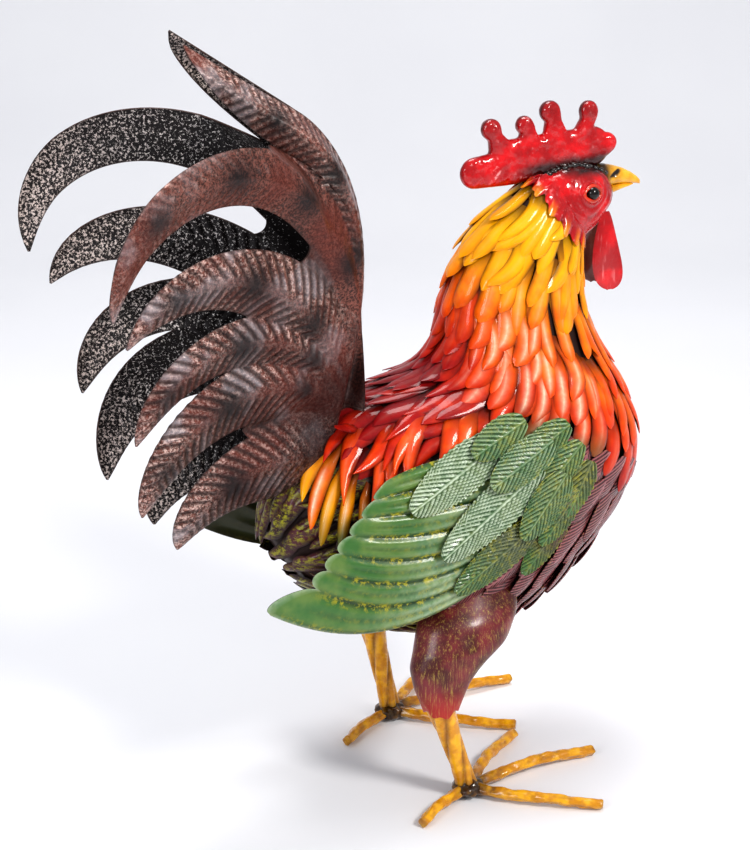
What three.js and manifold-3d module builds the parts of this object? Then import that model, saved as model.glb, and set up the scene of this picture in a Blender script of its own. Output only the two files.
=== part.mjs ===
// Scrap metal rooster: a standing bird made of painted sheet steel and hammered rod.
// Millimetres, +Z up. The bird faces +X, its left side is +Y, and it stands on z = 0.

import * as THREE from 'three';
import { mergeVertices } from 'three/addons/utils/BufferGeometryUtils.js';
import Module from 'manifold-3d';

const wasm = await Module();
wasm.setup();

// Stock and clearances.
const GAP = 0.3;
const SHEET = 1.2;
const ROD = 10;

// Vertices closer than this are one, and a cut solid is cleaned this many times.
const WELD = 1e-3;
const SHELL_PASSES = 3;
const FLATTEN = 0.03;

// Body: the core is a stack of oval sections from the head down the neck to the rump.
// Each section runs from a point on the back to a point on the breast.
const BODY_SECTIONS = [
  { back: [73, 490], breast: [130, 456], half: 27 },
  { back: [46, 468], breast: [128, 428], half: 34 },
  { back: [26, 440], breast: [131, 400], half: 41 },
  { back: [15, 408], breast: [144, 366], half: 50 },
  { back: [10, 378], breast: [168, 325], half: 63 },
  { back: [-6, 354], breast: [184, 275], half: 74 },
  { back: [-34, 343], breast: [171, 224], half: 79 },
  { back: [-64, 334], breast: [136, 178], half: 78 },
  { back: [-92, 318], breast: [90, 142], half: 73 },
  { back: [-116, 298], breast: [38, 126], half: 67 },
  { back: [-134, 277], breast: [-24, 130], half: 58 },
  { back: [-145, 255], breast: [-78, 150], half: 46 },
  { back: [-149, 236], breast: [-112, 178], half: 32 },
  { back: [-152, 222], breast: [-130, 192], half: 18 },
];
const CORE_END = 12;
const BODY_SIDES = 24;

// Feather strips: each one spans two sections and lies over the root of the next one.
const STRIP_BED = 0.5;
const STRIP_ROOT_LIFT = SHEET + STRIP_BED;
const STRIP_TIP_RISE = 4.8;
const STRIP_SECTIONS = 2;
const STRIP_NOTCH = 0.7;
const FINGER_CROWN = 0.5;
const SADDLE_HALF_COLUMNS = 5;
const BREAST_HALF_COLUMNS = 6;
const HACKLE_STRIPS = 5;
const SADDLE_STRIPS = 4;
const RUMP_STRIPS = 3;

// Head.
const HEAD_CENTRE = new THREE.Vector3(122, 0, 484);
const HEAD_RADII = new THREE.Vector3(40, 24, 27);
const EYE_RADIUS = 5.5;
const EYE_PLACE = [131, 490];
const MOUTH_RISE = 4.4;
const BEAK_ROOT_X = 152;

// Comb: a thick sheet with five knobbed points and a lobe behind.
const COMB_THICKNESS = 8;
const COMB_CLUBS = [
  { from: [64, 516, 17], to: [146, 521, 14] },
  { from: [64, 512, 14], to: [34, 510, 12.5] },
  { from: [58, 520, 10], to: [51, 545, 7] },
  { from: [82, 522, 9], to: [81, 546, 8] },
  { from: [106, 525, 9.5], to: [103, 556, 8.5] },
  { from: [130, 524, 9], to: [138, 552, 7] },
  { from: [146, 519, 9], to: [156, 526, 7] },
];
const WATTLE_THICKNESS = 2.4;
const WATTLE_CLUB = { from: [152, 467, 5], to: [155, 420, 15.5] };
const WATTLE_Y = 11;

// Tail: each sickle is a strip along a curve whose heading turns from first to last.
// The first one stands up along the front edge and is straight towards its tip.
const SICKLES = [
  { root: [-85, 321], heading: [76, 146], bend: 2.13, straight: 0.71, length: 389, width: 36, taper: 5.7 },
  { root: [-75, 334], heading: [88, 270], bend: 1.66, straight: 1, length: 428, width: 22.5, taper: 5.2 },
  { root: [-76, 327], heading: [111, 237], bend: 1.86, straight: 1, length: 300, width: 31, taper: 2.6 },
  { root: [-82, 321], heading: [106, 256], bend: 1.26, straight: 1, length: 271, width: 22, taper: 4.2 },
  { root: [-88, 323], heading: [111, 263], bend: 0.88, straight: 1, length: 245, width: 31, taper: 2.5 },
  { root: [-84, 301], heading: [170, 261], bend: 1.95, straight: 1, length: 179, width: 36, taper: 2.2 },
];
const SICKLE_STEPS = 10;
const TAIL_LIP = 4.4;
const TAIL_RIDGE_BACK = 13;
const TAIL_QUILL = 4.5;
const TAIL_LAYER = 0.1;
const TAIL_WEB = { root: [-84, 313], heading: [152, 176], bend: 1, straight: 1, length: 104, width: 25, taper: 3 };
const TAIL_BOSS = { centre: [-86, 15, 337], radii: [20, 10, 18] };
const QUILL_START = 0.2;
const TAIL_TOP_HALF = 13;
const TAIL_ROOT_HALF = 10;
const TAIL_SPLAY = 0.0016;
const TAIL_SPLAY_FROM = [-50, 200];
const TAIL_SPLAY_RISE = 400;

// Wings: a pressed pan of ribs that run back from the shoulder and end in lobes.
const WING_SHOULDER = { low: [36, 214], high: [66, 300] };
const WING_SAG = { low: [-72, 128], high: [-14, 316] };
const WING_ENDS = { low: [-190, 211], high: [-84, 289] };
const WING_LOBES = 7;
const WING_RIB = 1.3;
const WING_CLEARANCE = 2.7;
const WING_CURVE_RADIUS = 140;
const WING_AXIS = { x: 40, z: 250, slope: 0.35 };
const WING_STEPS = 9;
const LOBE_LENGTH = 0.055;
const WING_RAISE = { right: 0, left: 12 };

// Covert plates, root to tip in side view, each one on its layer above the wing pan.
const COVERTS = [
  { root: [22, 316], tip: [-62, 268], width: 36, layer: 0 },
  { root: [50, 243], tip: [-24, 193], width: 34, layer: 0 },
  { root: [52, 291], tip: [-38, 227], width: 38, layer: 1 },
  { root: [72, 284], tip: [33, 232], width: 32, layer: 2 },
  { root: [60, 313], tip: [4, 281], width: 32, layer: 3 },
];
const COVERT_QUILL = 1.2;
const COVERT_LAYER = COVERT_QUILL + SHEET + GAP;

// Legs, from the ground up.
const ANKLE_X = -4;
const ANKLE_Y = { right: -80, left: 70 };
const ANKLE_RADIUS = 11;
const TOES = {
  outer: { angle: -37, length: 114 },
  middle: { angle: 6, length: 131 },
  inner: { angle: 40, length: 108 },
  hind: { angle: 209, length: 66 },
};
const SHANK_WIDTH = 17;
const SHANK_TWIST = 200;
const SHANK_LEAN = { right: 26, left: 20 };
const THIGH_BOTTOM_Z = 80;
const THIGH_BOTTOM_RADIUS = 12.5;
const THIGH_RINGS = [
  { rise: 0, forward: 0, radius: THIGH_BOTTOM_RADIUS, inward: 0 },
  { rise: 12, forward: 1, radius: 17, inward: 1 },
  { rise: 27, forward: 3, radius: 25, inward: 4 },
  { rise: 42, forward: 10, radius: 33, inward: 8 },
  { rise: 58, forward: 24, radius: 41, inward: 12 },
  { rise: 80, forward: 36, radius: 44, inward: 22 },
  { rise: 104, forward: 46, radius: 38, inward: 40 },
];
const THIGH_FLATNESS = 0.62;

const RED = 0xc4131f;
const ORANGE = 0xe0631c;
const DEEP_RED = 0xa8261b;
const PLUM = 0x6a2a33;
const GREEN = 0x3f7a44;
const YELLOW = 0xe9a91c;
const OCHRE = 0xc98f22;
const COPPER = 0x7a5045;
const BLACK = 0x1a1512;

const group = new THREE.Group();

function radians(degrees) {
  return (degrees * Math.PI) / 180;
}

function smooth(low, high, value) {
  return THREE.MathUtils.smoothstep(value, low, high);
}

function blend(low, high, share) {
  return [low[0] + (high[0] - low[0]) * share, low[1] + (high[1] - low[1]) * share];
}

// A closed geometry from vertices and faces, turned so that its faces look outward.
function closedGeometry(points, triangles) {
  let volume = 0;
  for (const [a, b, c] of triangles) {
    volume += points[a].dot(new THREE.Vector3().crossVectors(points[b], points[c]));
  }
  const index = volume > 0 ? triangles.flat() : triangles.flatMap(([a, b, c]) => [a, c, b]);
  const geometry = new THREE.BufferGeometry().setFromPoints(points);
  geometry.setIndex(index);
  return geometry;
}

// A solid through rings of points, closed by a fan at each end.
function loft(rings) {
  const sides = rings[0].length;
  const points = rings.flat();
  const triangles = [];
  for (let ring = 0; ring < rings.length - 1; ring += 1) {
    for (let side = 0; side < sides; side += 1) {
      const next = (side + 1) % sides;
      const a = ring * sides + side;
      const b = ring * sides + next;
      triangles.push([a, b, b + sides], [a, b + sides, a + sides]);
    }
  }
  for (const ring of [0, rings.length - 1]) {
    const centre = new THREE.Vector3();
    rings[ring].forEach((point) => centre.addScaledVector(point, 1 / sides));
    points.push(centre);
    for (let side = 0; side < sides; side += 1) {
      const a = ring * sides + side;
      const b = ring * sides + ((side + 1) % sides);
      triangles.push(ring === 0 ? [b, a, points.length - 1] : [a, b, points.length - 1]);
    }
  }
  return closedGeometry(points, triangles);
}

// A sheet between an outer and an inner grid of points, closed round its edges.
function sheet(outer, inner, ring = false) {
  const rows = outer.length;
  const columns = outer[0].length;
  const points = [...outer.flat(), ...inner.flat()];
  const half = rows * columns;
  const triangles = [];
  const quad = (a, b, c, d) => triangles.push([a, b, c], [a, c, d]);
  const spans = ring ? columns : columns - 1;
  for (let row = 0; row < rows - 1; row += 1) {
    for (let column = 0; column < spans; column += 1) {
      const a = row * columns + column;
      const b = row * columns + ((column + 1) % columns);
      quad(a, b, b + columns, a + columns);
      quad(half + b, half + a, half + a + columns, half + b + columns);
    }
  }
  for (let column = 0; column < spans; column += 1) {
    const next = (column + 1) % columns;
    const last = (rows - 1) * columns;
    quad(next, column, half + column, half + next);
    quad(last + column, last + next, half + last + next, half + last + column);
  }
  if (!ring) {
    for (let row = 0; row < rows - 1; row += 1) {
      const a = row * columns;
      const b = a + columns - 1;
      quad(a, a + columns, half + a + columns, half + a);
      quad(b + columns, b, half + b, half + b + columns);
    }
  }
  return closedGeometry(points, triangles);
}

// The grid moved along its own normals by a thickness, for the back of a pressed sheet.
function backOf(grid, thickness) {
  const last = grid.length - 1;
  return grid.map((row, r) => row.map((point, c) => {
    const up = grid[Math.min(r + 1, last)][c].clone().sub(grid[Math.max(r - 1, 0)][c]);
    const across = row[Math.min(c + 1, row.length - 1)].clone().sub(row[Math.max(c - 1, 0)]);
    const normal = across.cross(up).normalize();
    return point.clone().addScaledVector(normal, thickness);
  }));
}

function toSolid(geometry, weld = 1e-5) {
  const bare = geometry.clone();
  bare.deleteAttribute('normal');
  bare.deleteAttribute('uv');
  const merged = mergeVertices(bare, weld);
  return new wasm.Manifold(new wasm.Mesh({
    numProp: 3,
    vertProperties: new Float32Array(merged.attributes.position.array),
    triVerts: new Uint32Array(merged.index.array),
  }));
}

// The outermost closed shell of a solid, without loose crumbs and without cavities.
function toGeometry(solid) {
  let shell = solid;
  let geometry;
  for (let pass = 0; pass < SHELL_PASSES; pass += 1) {
    shell = shell.simplify(FLATTEN).decompose().sort((a, b) => b.volume() - a.volume())[0];
    const { vertProperties, triVerts } = shell.getMesh();
    geometry = new THREE.BufferGeometry();
    geometry.setAttribute(
      'position', new THREE.BufferAttribute(new Float32Array(vertProperties), 3));
    geometry.setIndex([...triVerts]);
    shell = toSolid(geometry, WELD);
  }
  return geometry;
}

// What is left of a solid outside the others.
function outside(solid, cutters) {
  return cutters.reduce((rest, cutter) => rest.subtract(cutter), solid);
}

function add(name, geometry, color, roughness = 0.45, metalness = 0.3) {
  const flat = geometry.index ? geometry.toNonIndexed() : geometry;
  flat.deleteAttribute('normal');
  flat.computeVertexNormals();
  const material = new THREE.MeshStandardMaterial({ color, roughness, metalness });
  const mesh = new THREE.Mesh(flat, material);
  mesh.name = name;
  group.add(mesh);
}

// A point of the body, by section, by column from the back round to the left, and by
// lift above the core. Between two sections the body is straight.
function bodyPoint(section, column, lift) {
  const first = Math.min(Math.floor(section), BODY_SECTIONS.length - 2);
  const here = BODY_SECTIONS[first];
  const next = BODY_SECTIONS[first + 1];
  const share = section - first;
  const [backX, backZ] = blend(here.back, next.back, share);
  const [breastX, breastZ] = blend(here.breast, next.breast, share);
  const half = THREE.MathUtils.lerp(here.half, next.half, share);
  const reach = new THREE.Vector3(backX - breastX, 0, backZ - breastZ);
  const radius = reach.length() / 2;
  reach.normalize();
  const turn = (2 * Math.PI * column) / BODY_SIDES;
  return new THREE.Vector3((backX + breastX) / 2, 0, (backZ + breastZ) / 2)
    .addScaledVector(reach, (radius + lift) * Math.cos(turn))
    .add(new THREE.Vector3(0, (half + lift) * Math.sin(turn), 0));
}

function bodySolid(lift, end) {
  const rings = [];
  for (let section = 0; section <= end; section += 1) {
    rings.push(Array.from({ length: BODY_SIDES }, (_, column) => bodyPoint(section, column, lift)));
  }
  return loft(rings);
}

// A fringe-cut strip over the body from one section to the second next. Every other
// column is a finger, longer and a little crowned.
function featherStrip(start, firstColumn, lastColumn) {
  const ring = lastColumn - firstColumn === BODY_SIDES;
  const columns = lastColumn - firstColumn + (ring ? 0 : 1);
  const grids = [0, SHEET].map((depth) => [0, 1, 2].map((row) => (
    Array.from({ length: columns }, (_, index) => {
      const column = firstColumn + index;
      const finger = (column + BODY_SIDES) % 2 === 0;
      const tip = row === STRIP_SECTIONS;
      const reach = row - (tip && !finger ? STRIP_NOTCH : 0);
      const crown = tip ? FINGER_CROWN * (finger ? 1 : -1) : 0;
      const rise = (STRIP_TIP_RISE * reach) / STRIP_SECTIONS;
      return bodyPoint(start + reach, column, STRIP_ROOT_LIFT + rise + crown - depth);
    })
  )));
  return sheet(grids[0], grids[1], ring);
}

// The whole feathered body with a clearance, which outer pieces are cut back to.
const featherLift = STRIP_ROOT_LIFT + STRIP_TIP_RISE + FINGER_CROWN + GAP;
const plumage = toSolid(bodySolid(featherLift, BODY_SECTIONS.length - 1));
const wingWidest = Math.max(...BODY_SECTIONS.map(({ half }) => half)) + featherLift + WING_CLEARANCE;

function headSolid(clearance) {
  const ball = new THREE.SphereGeometry(1, 18, 12);
  ball.rotateX(Math.PI / 2);
  ball.scale(HEAD_RADII.x + clearance, HEAD_RADII.y + clearance, HEAD_RADII.z + clearance);
  ball.translate(HEAD_CENTRE.x, HEAD_CENTRE.y, HEAD_CENTRE.z);
  return toSolid(ball);
}

const roundHead = headSolid(GAP);

// A flat outline of two round ends of their own radii, made thick across Y.
function clubGeometry(club, thickness, y) {
  const [x0, z0, r0] = club.from;
  const [x1, z1, r1] = club.to;
  const heading = Math.atan2(z1 - z0, x1 - x0);
  const spread = Math.acos((r0 - r1) / Math.hypot(x1 - x0, z1 - z0));
  const shape = new THREE.Shape();
  shape.absarc(x1, z1, r1, heading - spread, heading + spread, false);
  shape.absarc(x0, z0, r0, heading + spread, heading - spread + 2 * Math.PI, false);
  const bevel = thickness / 4;
  const geometry = new THREE.ExtrudeGeometry(shape, {
    depth: thickness - 2 * bevel,
    bevelThickness: bevel,
    bevelSize: bevel,
    bevelOffset: -bevel,
    bevelSegments: 1,
    curveSegments: 4,
  });
  geometry.rotateX(Math.PI / 2);
  geometry.translate(0, y + thickness / 2 - bevel, 0);
  return geometry;
}

function addHead() {
  add('body_shell', toGeometry(outside(toSolid(bodySolid(0, CORE_END)), [roundHead])), DEEP_RED);
  add('head', toGeometry(headSolid(0)), RED, 0.3);
  const clubs = COMB_CLUBS.map((club) => toSolid(clubGeometry(club, COMB_THICKNESS, 0)));
  const comb = clubs.reduce((whole, club) => whole.add(club));
  add('comb', toGeometry(outside(comb, [roundHead, plumage])), RED, 0.3);
  for (const [side, sign] of [['right', -1], ['left', 1]]) {
    const wattle = toSolid(clubGeometry(WATTLE_CLUB, WATTLE_THICKNESS, sign * WATTLE_Y));
    add(`wattle_${side}`, toGeometry(outside(wattle, [roundHead, plumage])), RED, 0.3);
    const share = ((EYE_PLACE[0] - HEAD_CENTRE.x) / HEAD_RADII.x) ** 2
      + ((EYE_PLACE[1] - HEAD_CENTRE.z) / HEAD_RADII.z) ** 2;
    const eye = new THREE.SphereGeometry(EYE_RADIUS, 12, 8);
    eye.translate(EYE_PLACE[0], sign * HEAD_RADII.y * Math.sqrt(1 - share), EYE_PLACE[1]);
    add(`eye_${side}`, toGeometry(outside(toSolid(eye), [roundHead])), BLACK, 0.1, 0);
  }
  addBeak('beak_upper', 1, [[0, 9.5, 10], [16, 7.8, 7.5], [29, 4.2, 4], [37, 1.2, 1.2]]);
  addBeak('beak_lower', -1, [[0, 4.8, 8.5], [16, 3.4, 6], [29, 1.4, 2.4]]);
}

// Half a beak above or below the mouth line, from its root to its point.
function addBeak(name, sign, stations) {
  const sides = 10;
  const rings = stations.map(([forward, high, wide]) => {
    const centre = HEAD_CENTRE.z + MOUTH_RISE + sign * (high + GAP / 2);
    return Array.from({ length: sides }, (_, side) => {
      const turn = (2 * Math.PI * (side + 0.5)) / sides;
      return new THREE.Vector3(
        BEAK_ROOT_X + forward, wide * Math.cos(turn), centre + high * Math.sin(turn));
    });
  });
  add(name, toGeometry(outside(toSolid(loft(rings)), [roundHead])), YELLOW);
}

function addFeathers() {
  const half = BODY_SIDES / 2;
  const addStrip = (name, start, first, last, color) => add(
    name, toGeometry(outside(toSolid(featherStrip(start, first, last)), [roundHead])), color);
  for (let row = 0; row < HACKLE_STRIPS; row += 1) {
    addStrip(`hackle_strip_${row + 1}`, row, 0, BODY_SIDES, ORANGE);
  }
  for (let row = 0; row < SADDLE_STRIPS; row += 1) {
    const start = HACKLE_STRIPS + row;
    addStrip(`saddle_strip_${row + 1}`, start, -SADDLE_HALF_COLUMNS, SADDLE_HALF_COLUMNS, DEEP_RED);
    addStrip(
      `breast_row_${row + 1}`, start, half - BREAST_HALF_COLUMNS, half + BREAST_HALF_COLUMNS, PLUM);
  }
  for (let row = 0; row < RUMP_STRIPS; row += 1) {
    addStrip(`rump_strip_${row + 1}`, HACKLE_STRIPS + SADDLE_STRIPS + row, 0, BODY_SIDES, PLUM);
  }
}

// The points and headings of a sickle's curve in side view.
function sickleLine(sickle, steps) {
  const line = [];
  let [x, z] = sickle.root;
  const step = sickle.length / steps;
  for (let index = 0; index <= steps; index += 1) {
    const turn = (share) => radians(THREE.MathUtils.lerp(
      ...sickle.heading, Math.min(1, share / sickle.straight) ** sickle.bend));
    line.push({ x, z, heading: turn(index / steps), share: index / steps });
    const middle = turn((index + 0.5) / steps);
    x += step * Math.cos(middle);
    z += step * Math.sin(middle);
  }
  return line;
}

const FRONT_LINE = sickleLine(SICKLES[0], 60);

// Half the distance between the two tail sheets at a place in side view: nothing at the
// front edge, then more with the distance behind it and the height above the rump.
function tailHalf(x, z) {
  const behind = Math.min(...FRONT_LINE.map((point) => Math.hypot(point.x - x, point.z - z)));
  const rise = TAIL_SPLAY_RISE * Math.tanh((z - TAIL_SPLAY_FROM[1]) / TAIL_SPLAY_RISE);
  const depth = Math.max(TAIL_SPLAY_FROM[0] - x, 0) * Math.max(rise, 0);
  return (TAIL_ROOT_HALF + TAIL_SPLAY * depth) * smooth(0, TAIL_RIDGE_BACK, behind);
}

// One sickle: a strip with a raised quill. The first one stands up along the front
// edge and comes back to the middle at its tip.
function sickleSolid(sickle, index) {
  const first = index === 0;
  const outer = sickleLine(sickle, SICKLE_STEPS).map(({ x, z, heading, share }) => {
    const taper = (1 - Math.min(share, 0.995) ** sickle.taper) ** 0.7;
    const rootWidth = first ? 0.6 : 0.25;
    const width = sickle.width * taper * THREE.MathUtils.lerp(rootWidth, 1, smooth(0, 0.45, share));
    const columns = first ? [0, 0.4, 1] : [-1, 0, 1];
    return columns.map((column) => {
      const px = x - width * column * Math.sin(heading);
      const pz = z + width * column * Math.cos(heading);
      const topHalf = TAIL_TOP_HALF * smooth(0, 0.4, column);
      const half = THREE.MathUtils.lerp(
        tailHalf(px, pz), topHalf, first ? smooth(0.35, 0.8, share) : 0);
      const quill = column === columns[1] ? TAIL_QUILL * taper * smooth(0, QUILL_START, share) : 0;
      return new THREE.Vector3(px, TAIL_LIP + TAIL_LAYER * index + quill + half, pz);
    });
  });
  return toSolid(sheet(outer, backOf(outer, SHEET)));
}

// The welded root that the sickles of one side spread from.
function tailBoss() {
  const ball = new THREE.SphereGeometry(1, 12, 8);
  ball.scale(...TAIL_BOSS.radii);
  ball.translate(...TAIL_BOSS.centre);
  return toSolid(ball);
}

// The same closed mesh on the other side of the bird.
function mirrored(geometry) {
  const copy = geometry.clone();
  copy.scale(1, -1, 1);
  const turned = [...copy.index.array];
  for (let i = 0; i < turned.length; i += 3) {
    [turned[i + 1], turned[i + 2]] = [turned[i + 2], turned[i + 1]];
  }
  copy.setIndex(turned);
  return copy;
}

function addTail() {
  const strips = [...SICKLES, TAIL_WEB].map((sickle, index) => sickleSolid(sickle, index));
  const whole = strips.reduce((joined, strip) => joined.add(strip), tailBoss());
  const fan = toGeometry(outside(whole, [plumage]));
  add('tail_fan_left', fan, COPPER, 0.55);
  add('tail_fan_right', mirrored(fan), COPPER, 0.55);
}

// Half the width over the wing pans at a place in side view: they curve round the body.
function wingHalf(x, z) {
  const off = (z - WING_AXIS.z - WING_AXIS.slope * (x - WING_AXIS.x)) / Math.hypot(1, WING_AXIS.slope);
  return wingWidest * Math.sqrt(1 - (off / WING_CURVE_RADIUS) ** 2);
}

// A wing pan: ribs follow the lower edge, and each pair of rows ends in a lobe.
function wingGeometry(side, sign) {
  const rows = 2 * WING_LOBES + 1;
  const outer = [];
  for (let row = 0; row < rows; row += 1) {
    const across = row / (rows - 1);
    const start = blend(WING_SHOULDER.low, WING_SHOULDER.high, across);
    const sag = blend(WING_SAG.low, WING_SAG.high, across);
    const end = blend(WING_ENDS.low, WING_ENDS.high, across);
    const lobe = row % 2 === 1;
    const reach = lobe ? 1 : 1 - LOBE_LENGTH;
    const line = [];
    for (let step = 0; step <= WING_STEPS; step += 1) {
      const share = (reach * step) / WING_STEPS;
      const [x, z] = blend(blend(start, sag, share), blend(sag, end, share), share);
      const rib = (lobe ? WING_RIB : 0) * smooth(0, 0.3, share);
      const raise = WING_RAISE[side] * share;
      line.push(new THREE.Vector3(x, sign * (wingHalf(x, z + raise) + rib), z + raise));
    }
    outer.push(line);
  }
  return sheet(outer, backOf(outer, -sign * SHEET));
}

// A covert plate: a leaf with a raised quill, pressed to the curve of the wing.
function covertGeometry(covert, sign) {
  const [x0, z0] = covert.root;
  const [x1, z1] = covert.tip;
  const length = Math.hypot(x1 - x0, z1 - z0);
  const side = [-(z1 - z0) / length, (x1 - x0) / length];
  const lift = WING_RIB + SHEET + GAP + COVERT_LAYER * covert.layer;
  const outer = [0.02, 0.25, 0.5, 0.75, 0.98].map((share) => {
    const half = 0.5 * covert.width * Math.sin(Math.PI * share) ** 0.6;
    return [-1, 0, 1].map((column) => {
      const x = x0 + (x1 - x0) * share + half * column * side[0];
      const z = z0 + (z1 - z0) * share + half * column * side[1];
      const quill = column === 0 ? COVERT_QUILL : 0;
      return new THREE.Vector3(x, sign * (wingHalf(x, z) + lift + quill), z);
    });
  });
  const inner = outer.map((row) => row.map(({ x, y, z }) => new THREE.Vector3(x, y - sign * SHEET, z)));
  return sheet(outer, inner);
}

function addWings() {
  for (const [side, sign] of [['right', -1], ['left', 1]]) {
    const pan = outside(toSolid(wingGeometry(side, sign)), [plumage]);
    add(`wing_pan_${side}`, toGeometry(pan), GREEN);
    COVERTS.forEach((covert, index) => {
      const plate = outside(toSolid(covertGeometry(covert, sign)), [plumage]);
      add(`covert_${side}_${index + 1}`, toGeometry(plate), GREEN);
    });
  }
}

// A toe rod with a flat underside, lying on the ground and rising to the ankle.
function toeSolid(toe, ankleY, clearance) {
  const sides = 8;
  const inradius = ROD / 2 + clearance;
  const radius = inradius / Math.cos(Math.PI / sides);
  const turn = radians(toe.angle);
  const forward = new THREE.Vector3(Math.cos(turn), Math.sin(turn), 0);
  const across = new THREE.Vector3(-forward.y, forward.x, 0);
  const rise = ROD * 0.3;
  const rings = [0, 0.25, 0.45, 1 + clearance / toe.length].map((share) => {
    const centre = new THREE.Vector3(ANKLE_X, ankleY, ROD / 2 + rise * (1 - smooth(0, 0.45, share)));
    centre.addScaledVector(forward, share * toe.length);
    return Array.from({ length: sides }, (_, side) => {
      const angle = (2 * Math.PI * (side + 0.5)) / sides;
      return centre.clone()
        .addScaledVector(across, radius * Math.cos(angle))
        .add(new THREE.Vector3(0, 0, radius * Math.sin(angle)));
    });
  });
  return toSolid(loft(rings));
}

function ankleSolid(ankleY, clearance) {
  const lump = new THREE.CylinderGeometry(
    ANKLE_RADIUS * 0.8 + clearance, ANKLE_RADIUS + clearance, ROD + 3 + 2 * clearance, 12);
  lump.rotateX(Math.PI / 2);
  lump.translate(ANKLE_X, ankleY, (ROD + 3) / 2);
  return toSolid(lump);
}

function addLegs() {
  for (const side of ['right', 'left']) {
    const ankleY = ANKLE_Y[side];
    add(`ankle_weld_${side}`, toGeometry(ankleSolid(ankleY, 0)), BLACK, 0.6);
    const taken = [ankleSolid(ankleY, GAP)];
    for (const [name, toe] of Object.entries(TOES)) {
      const rod = outside(toeSolid(toe, ankleY, 0), taken);
      add(`toe_${name}_${side}`, toGeometry(rod), OCHRE, 0.5);
      taken.push(toeSolid(toe, ankleY, GAP));
    }
    addShankAndThigh(side, ankleY);
  }
}

// The shank is a folded tube that twists as it leans back to the thigh cone.
function addShankAndThigh(side, ankleY) {
  const bottom = ROD + 3 + GAP;
  const top = THIGH_BOTTOM_Z - GAP;
  const steps = 8;
  const shankRings = [];
  for (let step = 0; step <= steps; step += 1) {
    const share = step / steps;
    const size = (SHANK_WIDTH / 2) * (0.95 + 0.35 * share);
    const centreX = ANKLE_X - SHANK_LEAN[side] * share;
    shankRings.push(Array.from({ length: 6 }, (_, corner) => {
      const turn = radians(60 * corner + SHANK_TWIST * share);
      const reach = corner % 2 === 0 ? size : size * 0.72;
      return new THREE.Vector3(
        centreX + reach * Math.cos(turn), ankleY + reach * Math.sin(turn), bottom + (top - bottom) * share);
    }));
  }
  add(`shank_${side}`, loft(shankRings), YELLOW);

  const inwardSign = -Math.sign(ankleY);
  const sides = 14;
  const thighRings = THIGH_RINGS.map(({ rise, forward, radius, inward }) => (
    Array.from({ length: sides }, (_, index) => {
      const turn = (2 * Math.PI * index) / sides;
      const flat = THREE.MathUtils.lerp(1, THIGH_FLATNESS, Math.min(rise / 27, 1));
      return new THREE.Vector3(
        ANKLE_X - SHANK_LEAN[side] + forward + radius * Math.cos(turn),
        ankleY + inwardSign * inward + radius * flat * Math.sin(turn),
        THIGH_BOTTOM_Z + rise);
    })));
  const thigh = outside(toSolid(loft(thighRings)), [plumage]);
  add(`thigh_${side}`, toGeometry(thigh), PLUM, 0.5);
}

addHead();
addFeathers();
addWings();
addTail();
addLegs();

const box = new THREE.Box3().setFromObject(group);
const centre = box.getCenter(new THREE.Vector3());
group.children.forEach((mesh) => mesh.position.set(-centre.x, -centre.y, -box.min.z));

export default group;
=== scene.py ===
"""Looks of a scrap metal rooster: fringe-cut painted feathers, pressed wings and tail, hammered rod feet."""

import logging
import math
from collections.abc import Sequence
from dataclasses import dataclass, replace
from enum import StrEnum

import bmesh
import bpy
import numpy as np
from mathutils import Matrix, Vector, noise
from mathutils.geometry import delaunay_2d_cdt

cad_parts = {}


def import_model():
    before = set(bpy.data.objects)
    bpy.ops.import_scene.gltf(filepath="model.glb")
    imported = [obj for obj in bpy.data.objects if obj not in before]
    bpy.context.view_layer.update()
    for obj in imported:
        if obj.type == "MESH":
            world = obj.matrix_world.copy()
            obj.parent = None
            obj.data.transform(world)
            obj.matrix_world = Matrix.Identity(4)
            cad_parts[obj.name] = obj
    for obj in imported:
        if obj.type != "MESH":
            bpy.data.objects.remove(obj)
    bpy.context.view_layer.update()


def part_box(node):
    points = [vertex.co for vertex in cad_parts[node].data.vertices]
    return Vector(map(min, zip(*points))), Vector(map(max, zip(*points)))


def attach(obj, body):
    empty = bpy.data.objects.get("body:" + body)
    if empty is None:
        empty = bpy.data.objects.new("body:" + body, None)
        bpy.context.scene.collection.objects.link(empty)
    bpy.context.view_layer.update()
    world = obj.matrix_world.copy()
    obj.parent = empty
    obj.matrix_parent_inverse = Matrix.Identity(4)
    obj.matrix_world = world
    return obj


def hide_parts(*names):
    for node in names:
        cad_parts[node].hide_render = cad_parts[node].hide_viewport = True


LOG = logging.getLogger("rooster")
MM = 0.001
Array = np.ndarray
Piece = bpy.types.Object
Paint = bpy.types.Material
Socket = bpy.types.NodeSocket

# Where the right ankle stands in the bird's own millimetres: X forward, Y left, Z up.
ANKLE_AT = (-4.0, -80.0)


class Side(StrEnum):
    """Which side of the bird a piece is on."""

    RIGHT = "right"
    LEFT = "left"

    @property
    def sign(self) -> int:
        """Which way the side faces along Y."""
        return -1 if self is Side.RIGHT else 1


def smooth(low: float, high: float, value: Array) -> Array:
    """Returns the smooth step of value between low and high."""
    share = np.clip((np.asarray(value, float) - low) / (high - low), 0.0, 1.0)
    return share * share * (3.0 - 2.0 * share)


def bell(value: Array, width: float) -> Array:
    """Returns a soft bump of one where value is zero, of a half width."""
    return np.exp(-((value / width) ** 2))


def circle(count: int) -> Array:
    """Returns the turns of evenly spaced places round a circle, in radians."""
    return np.linspace(0, 2 * math.pi, count, endpoint=False)


def points_of(x: Array, y: Array, z: Array) -> Array:
    """Returns a grid of points from coordinates that spread over one another."""
    return np.stack(np.broadcast_arrays(x, y, z), axis=-1)


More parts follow.
